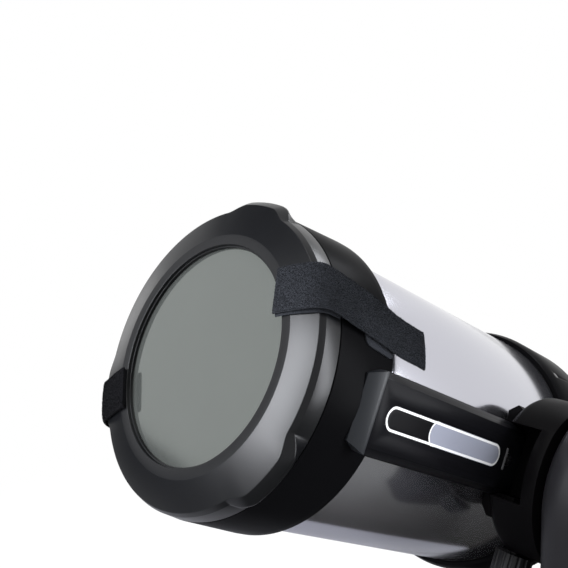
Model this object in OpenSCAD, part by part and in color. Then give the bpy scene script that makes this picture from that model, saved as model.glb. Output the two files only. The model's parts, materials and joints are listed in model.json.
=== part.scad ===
// Schmidt-Cassegrain telescope on a single-arm motorised mount, with a solar filter cap.
// Tube pieces are drawn about the optical axis: z = 0 is the front cell's front face and
// +z looks at the sky, x points to the fork arm. ota() then tilts them onto the mount.

/* [Pointing] */
// Height of the tube above the horizon at rest, in degrees
rest_altitude = 25.3; // [5:0.1:60]

/* [Tube] */
// Outer diameter of the optical tube
tube_d = 217.2; // [212:0.2:222]
// Wall of the optical tube
tube_wall = 1.5; // [1:0.1:2]
// Length of tube seen between the two cells
tube_visible = 256.7; // [240:0.1:300]
// Length of tube held inside each cell
tube_seat = 26; // [20:1:28]

/* [Front cell] */
// Length of the front cell
cell_length = 65.6; // [60:0.1:75]
// Width of the land that the filter cap slides over
land_length = 11.7; // [11.2:0.1:14]
// Thickness of the corrector plate
corrector_t = 5; // [4:0.5:6]
// Depth of the corrector plate behind the front face
corrector_depth = 4.3; // [3.5:0.1:5.5]
// Diameter of the secondary mirror holder's flange
secondary_d = 78; // [70:1:84]

/* [Rear cell] */
// Length of the rear cell's outer wall
rear_length = 66; // [62:1:74]
// Thickness of the rear cell's back plate
rear_plate_t = 6; // [5:0.5:8]
// Thickness of the primary mirror at its edge
mirror_t = 16; // [12:1:18]
// Travel of the primary mirror each way when focusing
focus_travel = 7.5; // [5:0.5:7.5]
// Distance of the focus knob from the optical axis
focus_offset = 58; // [54:1:64]

/* [Eyepiece end] */
// Diameter of the eyepiece barrels
barrel_d = 31.75; // [31.7:0.05:31.8]
// Width of the star diagonal's body
diagonal_w = 40; // [38:1:46]
// Length of the eyepiece above its barrel
eyepiece_l = 46; // [36:1:56]

/* [Solar filter] */
// Diameter of the clear window
window_d = 162; // [150:1:166]
// Diameter of the flat ring around the window
flat_ring_d = 177.4; // [172:0.2:182]
// Depth of the cap from its front to the end of its skirt
cap_depth = 20.9; // [20:0.1:21.4]
// Thickness of the cap's front plate
cap_plate_t = 6; // [5:0.5:7]
// How far each of the three lobes stands out
lobe_rise = 8.5; // [6:0.5:9]
// Half-angle of a lobe
lobe_half_angle = 17; // [12:1:20]
// How far the cap can be drawn off the tube
cap_travel = 60; // [40:5:80]
// Width of the two hook-and-loop straps
strap_w = 32; // [25:1:34]
// Thickness of the straps
strap_t = 1.8; // [1.2:0.1:2.4]

/* [Dovetail bar] */
// Width of the bar's outer face
bar_face_w = 46.6; // [44:0.2:50]
// Width of the bar at its flanges
bar_flange_w = 58; // [56:0.5:62]
// Height of the bar's face above the tube
bar_rise = 11.4; // [10:0.2:13]
// Length of the name-plate recess
badge_l = 140; // [100:1:144]
// Width of the name-plate recess
badge_w = 18; // [12:1:22]

/* [Saddle] */
// Diameter of the round saddle
saddle_d = 136; // [130:1:142]
// Thickness of the saddle from the tube side to the arm
saddle_t = 39.5; // [36:0.5:46]
// Distance from the front face to the altitude axis
axis_back = 270.3; // [266:0.1:274]
// How far the tube can slide each way in the saddle
balance_travel = 18; // [10:1:18]
// Opening of the clamp jaw
jaw_travel = 3.75; // [2:0.25:4]

/* [Fork arm] */
// Height of the altitude axis above the base plate
axis_height = 370; // [350:1:420]
// Diameter of the arm's head
head_d = 148; // [144:1:156]
// Thickness of the arm across the altitude axis
arm_t = 82; // [80:1:94]
// Wall of the arm's shells
shell_wall = 4; // [3:0.5:4.5]
// Diameter of the altitude shaft
shaft_d = 30; // [26:1:32]
// Diameter of the altitude worm wheel
altitude_wheel_d = 104; // [96:1:106]
// Length of the carrying handle
handle_l = 124; // [100:1:140]
// Distance from the arm to the middle of the carrying handle
handle_reach = 32; // [28:1:44]
// Height of the carrying handle above the turning base
handle_rise = 70; // [50:1:100]

/* [Base] */
// Diameter of the turning base
base_d = 290; // [280:1:300]
// Height of the turning base's top above the base plate's underside
base_top = 86; // [84:1:96]
// Step in from the turning base's edge to the base plate's edge
plate_inset = 8; // [7:0.5:14]
// Thickness of the fixed base plate
plate_t = 10; // [8:0.5:11]
// Height of the rubber feet
foot_h = 8; // [6:0.5:12]
// Diameter of the tripod's centre pin bore
pin_bore_d = 16; // [12:0.5:18]
// Diameter of the circle of tripod bolts
tripod_pcd = 150; // [130:1:170]
// Diameter of each tripod bolt hole
tripod_hole_d = 10; // [8:0.5:12]
// Diameter of the azimuth worm wheel
azimuth_wheel_d = 92; // [80:1:96]

/* [Hidden] */
$fn = 96;
eps = 0.02;
fit_gap = 0.1;
shaft_gap = 0.05;
run_gap = 0.3;
far = 400;

// Radii across the tube
tube_r = tube_d / 2;
tube_in_r = tube_r - tube_wall;
seat_r = tube_r + fit_gap;
cell_r = tube_r + 6.9;
shoulder_r = tube_r + 4.8;
land_r = tube_r + 1.3;
front_wall_r = land_r - 2;
recess_r = land_r - 5.4;
corrector_r = recess_r - run_gap;
aperture_r = corrector_r - 2.6;
rear_lip_r = tube_r + 4;
mirror_r = tube_in_r - 3.1;
retainer_pcr = (recess_r + front_wall_r) / 2;

// Places along the optical axis
cell_back_z = -cell_length;
tube_front_z = cell_back_z + tube_seat;
rear_front_z = cell_back_z - tube_visible;
tube_back_z = rear_front_z - tube_seat;
rear_back_z = rear_front_z - rear_length;
plate_front_z = rear_back_z + rear_plate_t;
corrector_z = -corrector_depth - corrector_t;
retainer_t = 1.5;
land_back_z = -land_length;
rim_round = 2;
taper_z = cell_back_z + 8;
// Radius of the front cell's tapered side at height z
function cell_side(z) = cell_r - (cell_r - shoulder_r) * (z - taper_z) / (land_back_z - taper_z);

// Filter cap
seam_gap = 0.5;
cap_front_z = cap_depth + land_back_z + seam_gap;
skirt_in_r = land_r + run_gap;
skirt_r = shoulder_r - 0.2;
edge_r = skirt_r - 1.7;
bevel_r = edge_r - 2;
bevel_drop = 4.7;
edge_drop = 8.9;
window_r = window_d / 2;
flat_ring_r = flat_ring_d / 2;
bevel_slope = bevel_drop / (bevel_r - flat_ring_r);
ledge_w = 1.2;
ledge_drop = 2.5;
film_t = 0.5;
film_drop = cap_plate_t - 1;
film_r = window_r + 4.8;
film_ring_t = 2.5;
lobe_angles = [88, 208, 328];
bevel_share = 0.56;
lobe_lean = 0.54;
strap_angles = [31, 209];
strap_tail = 23;

// Rear end
baffle_r = 19;
baffle_l = 140;
guide_r = 21.6;
carrier_r = 25;
port_r = 30;
thread_r = 25.4;
port_z = rear_back_z - 6;
thread_z = port_z - 10;
barrel_r = barrel_d / 2;
socket_r = barrel_r + 0.08;
mirror_back_z = plate_front_z + 30;
flange_front_z = mirror_back_z - 12;
flange_t = 6;
boss_t = 9;
back_end_z = thread_z - 26;
diagonal_z = back_end_z - 5 - diagonal_w / 2;
diagonal_half = diagonal_w / 2;
holder_h = 24;
focus_screw_r = 3;
focus_angle = 215;

// Bar and saddle
bar_face_x = tube_r + bar_rise;
bar_flange_x = tube_r + 2.4;
bar_front_z = -52.3;
bar_back_z = rear_front_z - 18;
saddle_x = cell_r + 1.5;
saddle_back_x = saddle_x + saddle_t;
channel_half = bar_flange_w / 2 - 3;
saddle_r = saddle_d / 2;
jaw_front = 45;
jaw_back = -30;
jaw_mid = (jaw_front + jaw_back) / 2;
jaw_depth = 20;
notch_depth = 29;
jaw_x = saddle_x + 14;
clamp_screw_x = saddle_x + 7;
clamp_screw_r = 4;
badge_t = 1;
badge_front_z = -66.3;

// Arm
arm_x = saddle_back_x + 1.5;
arm_out_x = arm_x + arm_t;
arm_split_x = arm_x + arm_t / 2;
head_r = head_d / 2;
waist_half = head_r - 8;
foot_half = head_r + 6;
waist_h = 120;
shaft_r = shaft_d / 2;
hub_r = 36;
bearing_r = shaft_r + 11;
bearing_t = 10;
casting_x = arm_x + 14;
casting_end_x = casting_x + 34;
wheel_x = casting_end_x + 10.3;
wheel_t = 8;
nut_t = 5;
worm_r = 7;
worm_shaft_r = 2.5;
motor_r = 14;
worm_half = 13;
motor_gap = 1;
motor_l = 34;
// Where a motor beside a worm wheel of this diameter clears its rim
function motor_start(wheel_d) =
    sqrt(pow(wheel_d / 2, 2)
         - pow(wheel_d / 2 + worm_r + run_gap - motor_r - motor_gap, 2)) + motor_gap;
altitude_worm_z = axis_height - altitude_wheel_d / 2 - worm_r - run_gap;
altitude_worm_x = wheel_x + wheel_t / 2;
altitude_motor_y = motor_start(altitude_wheel_d);
azimuth_worm_y = azimuth_wheel_d / 2 + worm_r + run_gap;
azimuth_motor_x = motor_start(azimuth_wheel_d);
clutch_r = 42;
upper_screw_inset = 16;
upper_screw_drop = 100;
lower_screw_inset = 22;
lower_screw_rise = 34;
upper_screws_y = waist_half - upper_screw_inset;
upper_screws_z = axis_height - upper_screw_drop;
lower_screws_y = foot_half - lower_screw_inset;
lower_screws_z = base_top + lower_screw_rise;
screw_points = [[0, axis_height + head_r - shell_wall - 7],
                [upper_screws_y, upper_screws_z], [-upper_screws_y, upper_screws_z],
                [lower_screws_y, lower_screws_z], [-lower_screws_y, lower_screws_z]];
handle_r = 11;
post_r = 9;
post_inset = 10;
handle_bolt_r = 3;
handle_x = arm_out_x + handle_reach;
handle_z = base_top + handle_rise;

// Base
base_r = base_d / 2;
base_wall = 4;
base_bottom = plate_t + 3;
spindle_r = 17;
spindle_top = 58;
chassis_z = plate_t + 8;
chassis_t = 5;
azimuth_wheel_z = 42;
azimuth_wheel_t = 8;
azimuth_worm_z = azimuth_wheel_z + azimuth_wheel_t / 2;
foot_r = 14;
plate_r = base_r - plate_inset;
foot_circle_r = plate_r - foot_r - 1;
panel_w = 84;
panel_h = 38;
panel_z = 28;
panel_x = sqrt(pow(base_r, 2) - pow(panel_w / 2, 2)) + 2;
battery_l = 54;
battery_w = 105;
battery_h = 38;
battery_x = -base_r + 27;
battery_y = azimuth_worm_y - motor_r - 1.3 - battery_w;
button_y = 32;
button_travel = 2;
button_r = 6;

// ---------- frames and shared shapes ----------
module ota() {
    translate([0, 0, axis_height])
        rotate([90 - rest_altitude, 0, 0])
            translate([0, 0, axis_back])
                children();
}

module at_hub() {
    translate([0, 0, axis_height])
        rotate([90 - rest_altitude, 0, 0])
            children();
}

module along_x(x, y = 0, z = 0) {
    translate([x, y, z])
        rotate([0, 90, 0])
            children();
}

module ring(outer_r, inner_r, h) {
    difference() {
        cylinder(r = outer_r, h = h);
        translate([0, 0, -eps])
            cylinder(r = inner_r, h = h + 2 * eps);
    }
}

module span(r, z_low, z_high) {
    translate([0, 0, z_low])
        cylinder(r = r, h = z_high - z_low);
}

module span_ring(outer_r, inner_r, z_low, z_high) {
    translate([0, 0, z_low])
        ring(outer_r, inner_r, z_high - z_low);
}

// A disc with its upper edge rounded
module soft_disc(r, h, edge) {
    rotate_extrude() {
        square([r - edge, h]);
        square([r, h - edge]);
        translate([r - edge, h - edge])
            intersection() {
                circle(r = edge);
                square(edge);
            }
    }
}

module knurled(r, h, grips) {
    difference() {
        soft_disc(r, h, 1.5);
        for (i = [0:grips - 1])
            rotate([0, 0, i * 360 / grips])
                translate([r + 0.6, 0, -1])
                    cylinder(r = 1.6, h = h + 2);
    }
}

module box(low, high) {
    translate(low)
        cube(high - low);
}

// ---------- optical tube ----------
module tube() {
    color("silver")
        ota()
            difference() {
                span_ring(tube_r, tube_in_r, tube_back_z, tube_front_z);
                bar_screw_holes();
                rear_screw_holes();
            }
}

module front_cell() {
    inner_r = recess_r + 1;
    flange_z = corrector_z - 4;
    color("#26262a")
        ota()
            difference() {
                rotate_extrude()
                    polygon([[front_wall_r, 0], [land_r, 0], [land_r, land_back_z],
                             [shoulder_r, land_back_z], [cell_r, taper_z],
                             [cell_r, cell_back_z + rim_round],
                             [cell_r - rim_round, cell_back_z], [seat_r, cell_back_z],
                             [seat_r, tube_front_z + fit_gap], [inner_r, tube_front_z + fit_gap],
                             [inner_r, flange_z], [aperture_r, flange_z],
                             [aperture_r, corrector_z], [recess_r, corrector_z],
                             [recess_r, -corrector_depth], [front_wall_r, -corrector_depth]]);
                bar_screw_holes();
                retainer_places()
                    span(1 + shaft_gap, -corrector_depth - 6, eps);
            }
}

module corrector_plate() {
    color("lightblue", 0.4)
        ota()
            span_ring(corrector_r, secondary_d / 2 - 6, corrector_z + shaft_gap, -corrector_depth);
}

module corrector_retainer() {
    color("#202022")
        ota()
            difference() {
                span_ring(front_wall_r - run_gap, aperture_r, -corrector_depth,
                          -corrector_depth + retainer_t);
                retainer_places()
                    span(1 + fit_gap, -corrector_depth - 1, 0);
            }
}

module retainer_places() {
    for (i = [0:7])
        rotate([0, 0, 22.5 + i * 45])
            translate([retainer_pcr, 0, 0])
                children();
}

module retainer_screws() {
    top = -corrector_depth + retainer_t;
    color("dimgray")
        ota()
            retainer_places() {
                span(1, -corrector_depth - 5, top);
                span(1.5, top, top + 0.9);
            }
}

module secondary_holder() {
    front = 1;
    color("#1c1c1e")
        ota()
            difference() {
                union() {
                    span(secondary_d / 2, -corrector_depth, front);
                    span(secondary_d / 2 - 6.3, corrector_z - 8, -corrector_depth + eps);
                }
                span(secondary_d / 2 - 9, corrector_z - 9, -corrector_depth);
                collimation_places()
                    span(1.6, -corrector_depth - 1, front + 1);
                collimation_places()
                    span(3.2, front - 2, front + 1);
            }
}

module collimation_places() {
    for (i = [0:2])
        rotate([0, 0, 90 + i * 120])
            translate([15, 0, 0])
                children();
}

module collimation_screws() {
    color("gray")
        ota()
            collimation_places() {
                span(1.5, corrector_z - 1, -0.9);
                span(3, -0.9, 0.9);
            }
}

module secondary_mirror() {
    back = corrector_z - 1;
    color("lightsteelblue")
        ota()
            difference() {
                span(secondary_d / 2 - 10, back - 8, -corrector_depth - 0.6);
                collimation_places()
                    span(1.6, corrector_z - 1.1, 0);
            }
}

module secondary_baffle() {
    color("#141414")
        ota()
            difference() {
                rotate_extrude()
                    polygon([[secondary_d / 2 - 6.2, corrector_z - 0.1],
                             [secondary_d / 2 - 1, corrector_z - 0.1],
                             [secondary_d / 2 - 1, corrector_z - 5],
                             [secondary_d / 2 - 4, corrector_z - 30],
                             [secondary_d / 2 - 6.2, corrector_z - 30]]);
            }
}

// ---------- rear cell, primary mirror and focuser ----------
module rear_screw_places() {
    for (a = [51, 141, 231, 321])
        rotate([0, 0, a])
            translate([0, 0, rear_front_z - 16])
                rotate([0, 90, 0])
                    children();
}

module rear_screw_holes() {
    rear_screw_places()
        span(1.9, tube_in_r - 6, cell_r + 1);
}

module rear_cell() {
    wall_r = seat_r - 2;
    color("#26262a")
        ota()
            difference() {
                union() {
                    rotate_extrude()
                        polygon([[guide_r + fit_gap, port_z], [port_r, port_z],
                                 [port_r, rear_back_z], [cell_r - 5, rear_back_z],
                                 [cell_r, rear_back_z + 5], [cell_r, rear_front_z - 10],
                                 [rear_lip_r, rear_front_z], [seat_r, rear_front_z],
                                 [seat_r, tube_back_z - fit_gap], [wall_r, tube_back_z - fit_gap],
                                 [wall_r, plate_front_z], [guide_r + fit_gap, plate_front_z]]);
                    span_ring(thread_r, guide_r + fit_gap, thread_z, port_z + eps);
                }
                rear_screw_holes();
                rear_screw_places()
                    span(3.3, cell_r - 2, cell_r + 2);
                focus_place()
                    span(8.1, rear_back_z - 1, plate_front_z + 1);
            }
}

module rear_cell_screws() {
    color("silver")
        ota()
            rear_screw_places() {
                span(1.8, tube_in_r - 1.5, cell_r - 2);
                span(3, cell_r - 2, cell_r - 0.2);
            }
}

module baffle_tube() {
    color("#1a1a1c")
        ota()
            difference() {
                union() {
                    span(guide_r, thread_z, mirror_back_z + mirror_t + 14);
                    span(baffle_r, mirror_back_z, rear_front_z + baffle_l);
                }
                span(baffle_r - 2, thread_z - 1, far);
            }
}

module mirror_carrier() {
    color("gray")
        ota()
            difference() {
                union() {
                    span(carrier_r, flange_front_z - flange_t, mirror_back_z + mirror_t);
                    span(focus_offset + 10, flange_front_z - flange_t, flange_front_z);
                    span(carrier_r + 12, flange_front_z, mirror_back_z);
                    focus_place()
                        span(9, flange_front_z - boss_t, flange_front_z);
                }
                span(guide_r + shaft_gap, thread_z, far);
                focus_place()
                    span(focus_screw_r + shaft_gap, thread_z, flange_front_z + 2);
            }
}

module primary_mirror() {
    curve_r = 812;
    color("lightsteelblue")
        ota()
            difference() {
                span_ring(mirror_r, carrier_r + fit_gap, mirror_back_z, mirror_back_z + mirror_t);
                translate([0, 0, mirror_back_z + mirror_t - 6.7 + curve_r])
                    sphere(r = curve_r, $fn = 200);
            }
}

module focus_place() {
    rotate([0, 0, focus_angle])
        translate([focus_offset, 0, 0])
            children();
}

module focus_housing() {
    color("#303034")
        ota()
            focus_place()
                difference() {
                    union() {
                        span(14, rear_back_z - 5, rear_back_z);
                        span(8, rear_back_z - eps, plate_front_z);
                    }
                    span(focus_screw_r + shaft_gap, rear_back_z - 6, plate_front_z + 1);
                }
}

module focus_screw() {
    color("goldenrod")
        ota()
            focus_place()
                span(focus_screw_r, rear_back_z - 20, flange_front_z + 2);
}

module focus_knob() {
    color("#1a1a1c")
        ota()
            focus_place()
                difference() {
                    translate([0, 0, rear_back_z - 5.3])
                        mirror([0, 0, 1])
                            knurled(16, 20, 24);
                    span(focus_screw_r + shaft_gap, rear_back_z - 20, rear_back_z);
                }
}

// ---------- eyepiece end ----------
module visual_back() {
    color("#202022")
        ota()
            difference() {
                union() {
                    span(port_r - 1, thread_z - 4, port_z - 0.1);
                    span(21, back_end_z, thread_z - 3);
                }
                span(thread_r + fit_gap, thread_z - 0.1, port_z + 1);
                span(socket_r, back_end_z - 1, thread_z);
                thumb_place(back_end_z + 11)
                    span(2 + shaft_gap, 10, 30);
            }
}

// A place where a thumbscrew points at the optical axis from above
module thumb_place(z) {
    translate([0, 0, z])
        rotate([-90, 0, 0])
            children();
}

module thumbscrew(tip, seat) {
    span(2, tip, seat + 2);
    translate([0, 0, seat + 0.3])
        knurled(5.5, 9, 12);
}

module visual_back_screw() {
    color("dimgray")
        ota()
            thumb_place(back_end_z + 11)
                thumbscrew(barrel_r + 0.25, 21);
}

// Places along the eyepiece's own axis
module eyepiece_axis() {
    translate([0, 0, diagonal_z])
        rotate([-90, 0, 0])
            children();
}

module diagonal_body() {
    h = diagonal_half;
    back = diagonal_z - h;
    color("#202022")
        ota()
            difference() {
                union() {
                    translate([-h, 0, 0])
                        rotate([90, 0, 90])
                            linear_extrude(diagonal_w)
                                polygon([[-h, diagonal_z + h], [h, diagonal_z + h], [h, back],
                                         [h - 5, back], [-h, diagonal_z + h - 5]]);
                    span(barrel_r, diagonal_z + h - eps, thread_z - 5);
                    eyepiece_axis()
                        span(20, h - eps, h + holder_h);
                }
                span(barrel_r - 2, diagonal_z, thread_z);
                eyepiece_axis()
                    span(barrel_r - 2, 0, h + 2);
                eyepiece_axis()
                    span(socket_r, h + 1.9, h + holder_h + 1);
                translate([0, h + holder_h / 2, diagonal_z])
                    rotate([0, -90, 0])
                        span(2 + shaft_gap, 10, 30);
            }
}

module diagonal_mirror() {
    h = diagonal_half;
    long = sqrt(pow(2 * h - 5, 2) * 2) - 2;
    color("lightsteelblue")
        ota()
            translate([0, -2.5, diagonal_z - 2.5])
                rotate([-45, 0, 0])
                    translate([-h + 2, -long / 2, -3.3])
                        cube([diagonal_w - 4, long, 3]);
}

module eyepiece_screw() {
    color("dimgray")
        ota()
            translate([0, diagonal_half + holder_h / 2, diagonal_z])
                rotate([0, -90, 0])
                    thumbscrew(barrel_r + 0.25, 20);
}

module eyepiece_body() {
    base = diagonal_half + holder_h + 0.3;
    color("#1a1a1c")
        ota()
            eyepiece_axis()
                difference() {
                    union() {
                        span(barrel_r, base - holder_h + 4, base + 1);
                        span(20, base, base + eyepiece_l - 14);
                        span(17, base, base + eyepiece_l);
                    }
                    span(barrel_r - 2, 0, base + eyepiece_l - 12);
                    span(11, 0, far);
                }
}

module eyepiece_lens() {
    base = diagonal_half + holder_h + 0.3;
    color("lightblue")
        ota()
            eyepiece_axis()
                span(10.9, base + eyepiece_l - 9, base + eyepiece_l - 4);
}

module eyecup() {
    base = diagonal_half + holder_h + 0.3 + eyepiece_l;
    color("#111111")
        ota()
            eyepiece_axis()
                difference() {
                    span(20.5, base - 13, base + 9);
                    span(17.1, base - 14, base);
                    span(14, base - 1, base + 10);
                }
}

// ---------- dovetail bar ----------
module cell_clearance() {
    span(tube_r + 0.15, rear_front_z - 1, cell_back_z + 1);
    span(cell_r + 0.15, cell_back_z - 0.3, 1);
    span(cell_r + 0.15, rear_back_z, rear_front_z + 0.3);
}

module bar_screw_places() {
    for (z = [cell_back_z + 6, rear_front_z + 8])
        for (y = [-14, 14])
            along_x(0, y, z)
                children();
}

module bar_screw_holes() {
    bar_screw_places()
        span(2 + fit_gap, tube_in_r - 12, bar_face_x - 2.5);
}

module bar_section() {
    face = bar_face_w / 2;
    flange = bar_flange_w / 2;
    polygon([[tube_r - 4, -flange + 4.6], [bar_flange_x - 1.5, -flange], [bar_flange_x, -flange],
             [bar_face_x, -face], [bar_face_x, face], [bar_flange_x, flange],
             [bar_flange_x - 1.5, flange], [tube_r - 4, flange - 4.6]]);
}

module pill(length, width, h) {
    round_r = width / 2;
    box([-h, -round_r, -length + round_r], [0, round_r, -round_r]);
    for (z = [-round_r, -length + round_r])
        along_x(-h, 0, z)
            cylinder(r = round_r, h = h);
}

module dovetail_bar() {
    color("#1e1e20")
        ota()
            difference() {
                translate([0, 0, bar_back_z])
                    linear_extrude(bar_front_z - bar_back_z)
                        bar_section();
                cell_clearance();
                bar_screw_holes();
                translate([bar_face_x + eps, 0, badge_front_z])
                    pill(badge_l, badge_w, badge_t + eps);
                along_x(0, 0, badge_front_z - badge_l - 12)
                    span(3.6, bar_face_x - 3, bar_face_x + 1);
            }
}

module bar_badge() {
    color("slategray")
        ota()
            translate([bar_face_x - 0.1, 0, badge_front_z - 0.1])
                pill(badge_l - 0.2, badge_w - 0.2, badge_t - 0.15);
}

// A rubber wedge that fills the step between the front cell and the bar's end
module bar_bumper() {
    back_z = bar_front_z + 0.2;
    ridge_z = bar_front_z + 4;
    front_z = bar_front_z + 13.8;
    front_x = tube_r + 5.7;
    back_half = 28;
    ridge_half = 27;
    front_half = 22.5;
    cell_gap = 0.15;
    color("#3a3a3e")
        ota()
            difference() {
                intersection() {
                    rotate([90, 0, 0])
                        linear_extrude(far, center = true)
                            polygon([[tube_r, back_z], [bar_face_x, back_z],
                                     [bar_face_x, ridge_z], [front_x, front_z],
                                     [tube_r, front_z]]);
                    rotate([0, 90, 0])
                        linear_extrude(far)
                            polygon([[-back_z, -back_half], [-ridge_z, -ridge_half],
                                     [-front_z, -front_half], [-front_z, front_half],
                                     [-ridge_z, ridge_half], [-back_z, back_half]]);
                }
                rotate_extrude()
                    polygon([[0, cell_back_z], [cell_r + cell_gap, cell_back_z],
                             [cell_r + cell_gap, taper_z],
                             [shoulder_r + cell_gap, land_back_z], [0, land_back_z]]);
            }
}

module bar_screws() {
    color("dimgray")
        ota() {
            bar_screw_places() {
                span(2, tube_in_r - 5, bar_face_x - 3);
                span(3.5, tube_in_r - 9.5, tube_in_r - 5);
            }
            along_x(0, 0, badge_front_z - badge_l - 12)
                span(3.5, bar_face_x - 3, bar_face_x - 0.1);
        }
}

module hook_patches() {
    patch_t = 1.2;
    low = cell_back_z + 3;
    high = cell_back_z + 32;
    color("#0e0e10")
        ota()
            intersection() {
                rotate_extrude()
                    polygon([[cell_r + fit_gap, low], [cell_r + patch_t, low],
                             [cell_r + patch_t, taper_z], [cell_side(high) + patch_t, high],
                             [cell_side(high) + fit_gap, high], [cell_r + fit_gap, taper_z]]);
                for (a = strap_angles)
                    rotate([0, 0, a])
                        box([0, -16, low - 1], [far, 16, high + 1]);
            }
}

// ---------- solar filter ----------
// Where the bevel and the rounded edge end, at a lobe that stands out by rise
function bevel_end(rise) = [bevel_r + rise * bevel_share,
                            -bevel_drop - rise * bevel_share * bevel_slope];
function edge_end(rise) = [edge_r + rise, -edge_drop - rise * lobe_lean];

module cap_solid(rise) {
    root_step = rise > 0 ? 0.4 : 0;
    rotate_extrude()
        polygon([[0, 0], [flat_ring_r, 0], bevel_end(rise), edge_end(rise),
                 [skirt_r + root_step, -cap_depth], [0, -cap_depth]]);
}

module lobe_mask() {
    root = bevel_r - 2;
    top = skirt_r + lobe_rise + 1;
    root_half = root * tan(lobe_half_angle);
    top_half = root_half - (top - root) * 1.1;
    for (a = lobe_angles)
        rotate([0, 0, a])
            translate([0, 0, -cap_depth - 1])
                linear_extrude(cap_depth + 2)
                    polygon([[root - 30, -root_half], [root, -root_half], [top, -top_half],
                             [top, top_half], [root, root_half], [root - 30, root_half]]);
}

module filter_frame() {
    color("#4a4a4e")
        ota()
            translate([0, 0, cap_front_z])
                difference() {
                    union() {
                        cap_solid(0);
                        intersection() {
                            cap_solid(lobe_rise);
                            lobe_mask();
                        }
                    }
                    span(window_r, -ledge_drop, 1);
                    span(window_r - ledge_w, -cap_plate_t - 1, 0);
                    span(film_r + run_gap, -cap_plate_t - 1, -film_drop);
                    rotate_extrude()
                        polygon([[0, -cap_depth - 1], [skirt_in_r, -cap_depth - 1],
                                 [skirt_in_r, -cap_plate_t - 3.4],
                                 [skirt_in_r - 3.2, -cap_plate_t], [0, -cap_plate_t]]);
                }
}

module filter_film() {
    color("gray")
        ota()
            translate([0, 0, cap_front_z])
                span(film_r, -film_drop - film_t, -film_drop);
}

module film_ring() {
    color("#303030")
        ota()
            translate([0, 0, cap_front_z])
                span_ring(film_r, window_r, -film_drop - film_t - film_ring_t, -film_drop - film_t);
}

// A strap of constant thickness that follows points (radius, height) of its inner face
module strap(path) {
    last = len(path) - 1;
    function side(i) = let (d = path[min(i + 1, last)] - path[max(i - 1, 0)])
        [-d[1], d[0]] / norm(d);
    outer = [for (i = [last:-1:0]) path[i] + side(i) * strap_t];
    rotate([90, 0, 0])
        linear_extrude(strap_w, center = true)
            polygon(concat(path, outer));
}

function strap_path(rise) = [
    [window_r - 7, cap_front_z + 0.3],
    [flat_ring_r + 1, cap_front_z + 0.3],
    bevel_end(rise) + [0.5, cap_front_z + 0.4],
    edge_end(rise) + [0.8, cap_front_z],
    [skirt_r + rise * 0.65 + 1.2, cap_front_z - cap_depth],
    [cell_r + 2.4, cell_back_z + 34],
    [cell_r + 2.4, cell_back_z - 1],
    [cell_r + 4.6, cell_back_z - strap_tail * 0.55],
    [cell_r + 9.5, cell_back_z - strap_tail]];

module right_strap() {
    color("#18181a")
        ota()
            rotate([0, 0, strap_angles[0]])
                strap(strap_path(0));
}

module left_strap() {
    color("#18181a")
        ota()
            rotate([0, 0, strap_angles[1]])
                strap(strap_path(lobe_rise));
}

// ---------- saddle ----------
// The fixed and moving jaws share this hook, drawn across the bar on its +y side
module jaw_section(outer) {
    flange = bar_flange_w / 2;
    polygon([[saddle_x + 1, flange - 3.4], [bar_flange_x + 0.3, flange + 0.4],
             [bar_flange_x - 1.6, flange + 0.4], [tube_r - 1.4, flange - 1.6],
             [tube_r - 2.6, flange + 2], [tube_r - 4, flange + 9],
             [bar_flange_x + 1, outer], [saddle_x + 1, outer]]);
}

module saddle_body() {
    notch_z = 34;
    color("#232326")
        at_hub()
            difference() {
                union() {
                    translate([saddle_back_x, 0, 0])
                        rotate([0, -90, 0])
                            soft_disc(saddle_r, saddle_t, 7);
                    translate([0, 0, jaw_back])
                        linear_extrude(jaw_front - jaw_back)
                            jaw_section(44);
                }
                box([saddle_x - 5, -channel_half, -far / 2], [bar_face_x + 0.3, channel_half, far / 2]);
                box([saddle_x - 5, -channel_half - 3, notch_z],
                    [saddle_x + notch_depth, channel_half + 3, far / 2]);
                box([saddle_x - 5, -channel_half - jaw_depth - 4, jaw_back - run_gap],
                    [jaw_x + run_gap, -channel_half + 1, jaw_front + run_gap]);
                translate([clamp_screw_x, 0, jaw_mid])
                    rotate([90, 0, 0])
                        span(clamp_screw_r + shaft_gap, 20, saddle_r + 5);
                along_x(0)
                    span(shaft_r + shaft_gap, saddle_back_x - 16, far);
            }
}

module clamp_jaw() {
    outer = channel_half + jaw_depth;
    color("#2c2c30")
        at_hub()
            difference() {
                union() {
                    mirror([0, 1, 0])
                        translate([0, 0, jaw_back])
                            linear_extrude(jaw_front - jaw_back)
                                jaw_section(outer);
                    box([saddle_x, -outer, jaw_back], [jaw_x, -channel_half - 0.3, jaw_front]);
                }
                box([saddle_x + 0.99, -channel_half - 0.3, jaw_back - 1],
                    [jaw_x, 0, jaw_front + 1]);
                translate([clamp_screw_x, 0, jaw_mid])
                    rotate([90, 0, 0])
                        span(clamp_screw_r + shaft_gap, 20, saddle_r);
            }
}

module clamp_knob() {
    color("#1a1a1c")
        at_hub()
            translate([clamp_screw_x, 0, jaw_mid])
                rotate([90, 0, 0]) {
                    span(clamp_screw_r, channel_half + 9, saddle_r + 2);
                    translate([0, 0, saddle_r + 0.6])
                        knurled(15, 19, 16);
                }
}

module altitude_shaft() {
    color("lightgray")
        at_hub()
            along_x(0) {
                span(shaft_r, saddle_back_x - 15, wheel_x + wheel_t + nut_t);
                span(hub_r, saddle_back_x + 0.1, arm_x + shell_wall + 4);
            }
}

module altitude_wheel() {
    color("goldenrod")
        at_hub()
            along_x(wheel_x)
                difference() {
                    cylinder(r = altitude_wheel_d / 2, h = wheel_t);
                    span(shaft_r + shaft_gap, -1, wheel_t + 1);
                    for (i = [0:5])
                        rotate([0, 0, i * 60])
                            translate([shaft_r + 16, 0, -1])
                                cylinder(r = 8, h = wheel_t + 2);
                }
}

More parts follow.
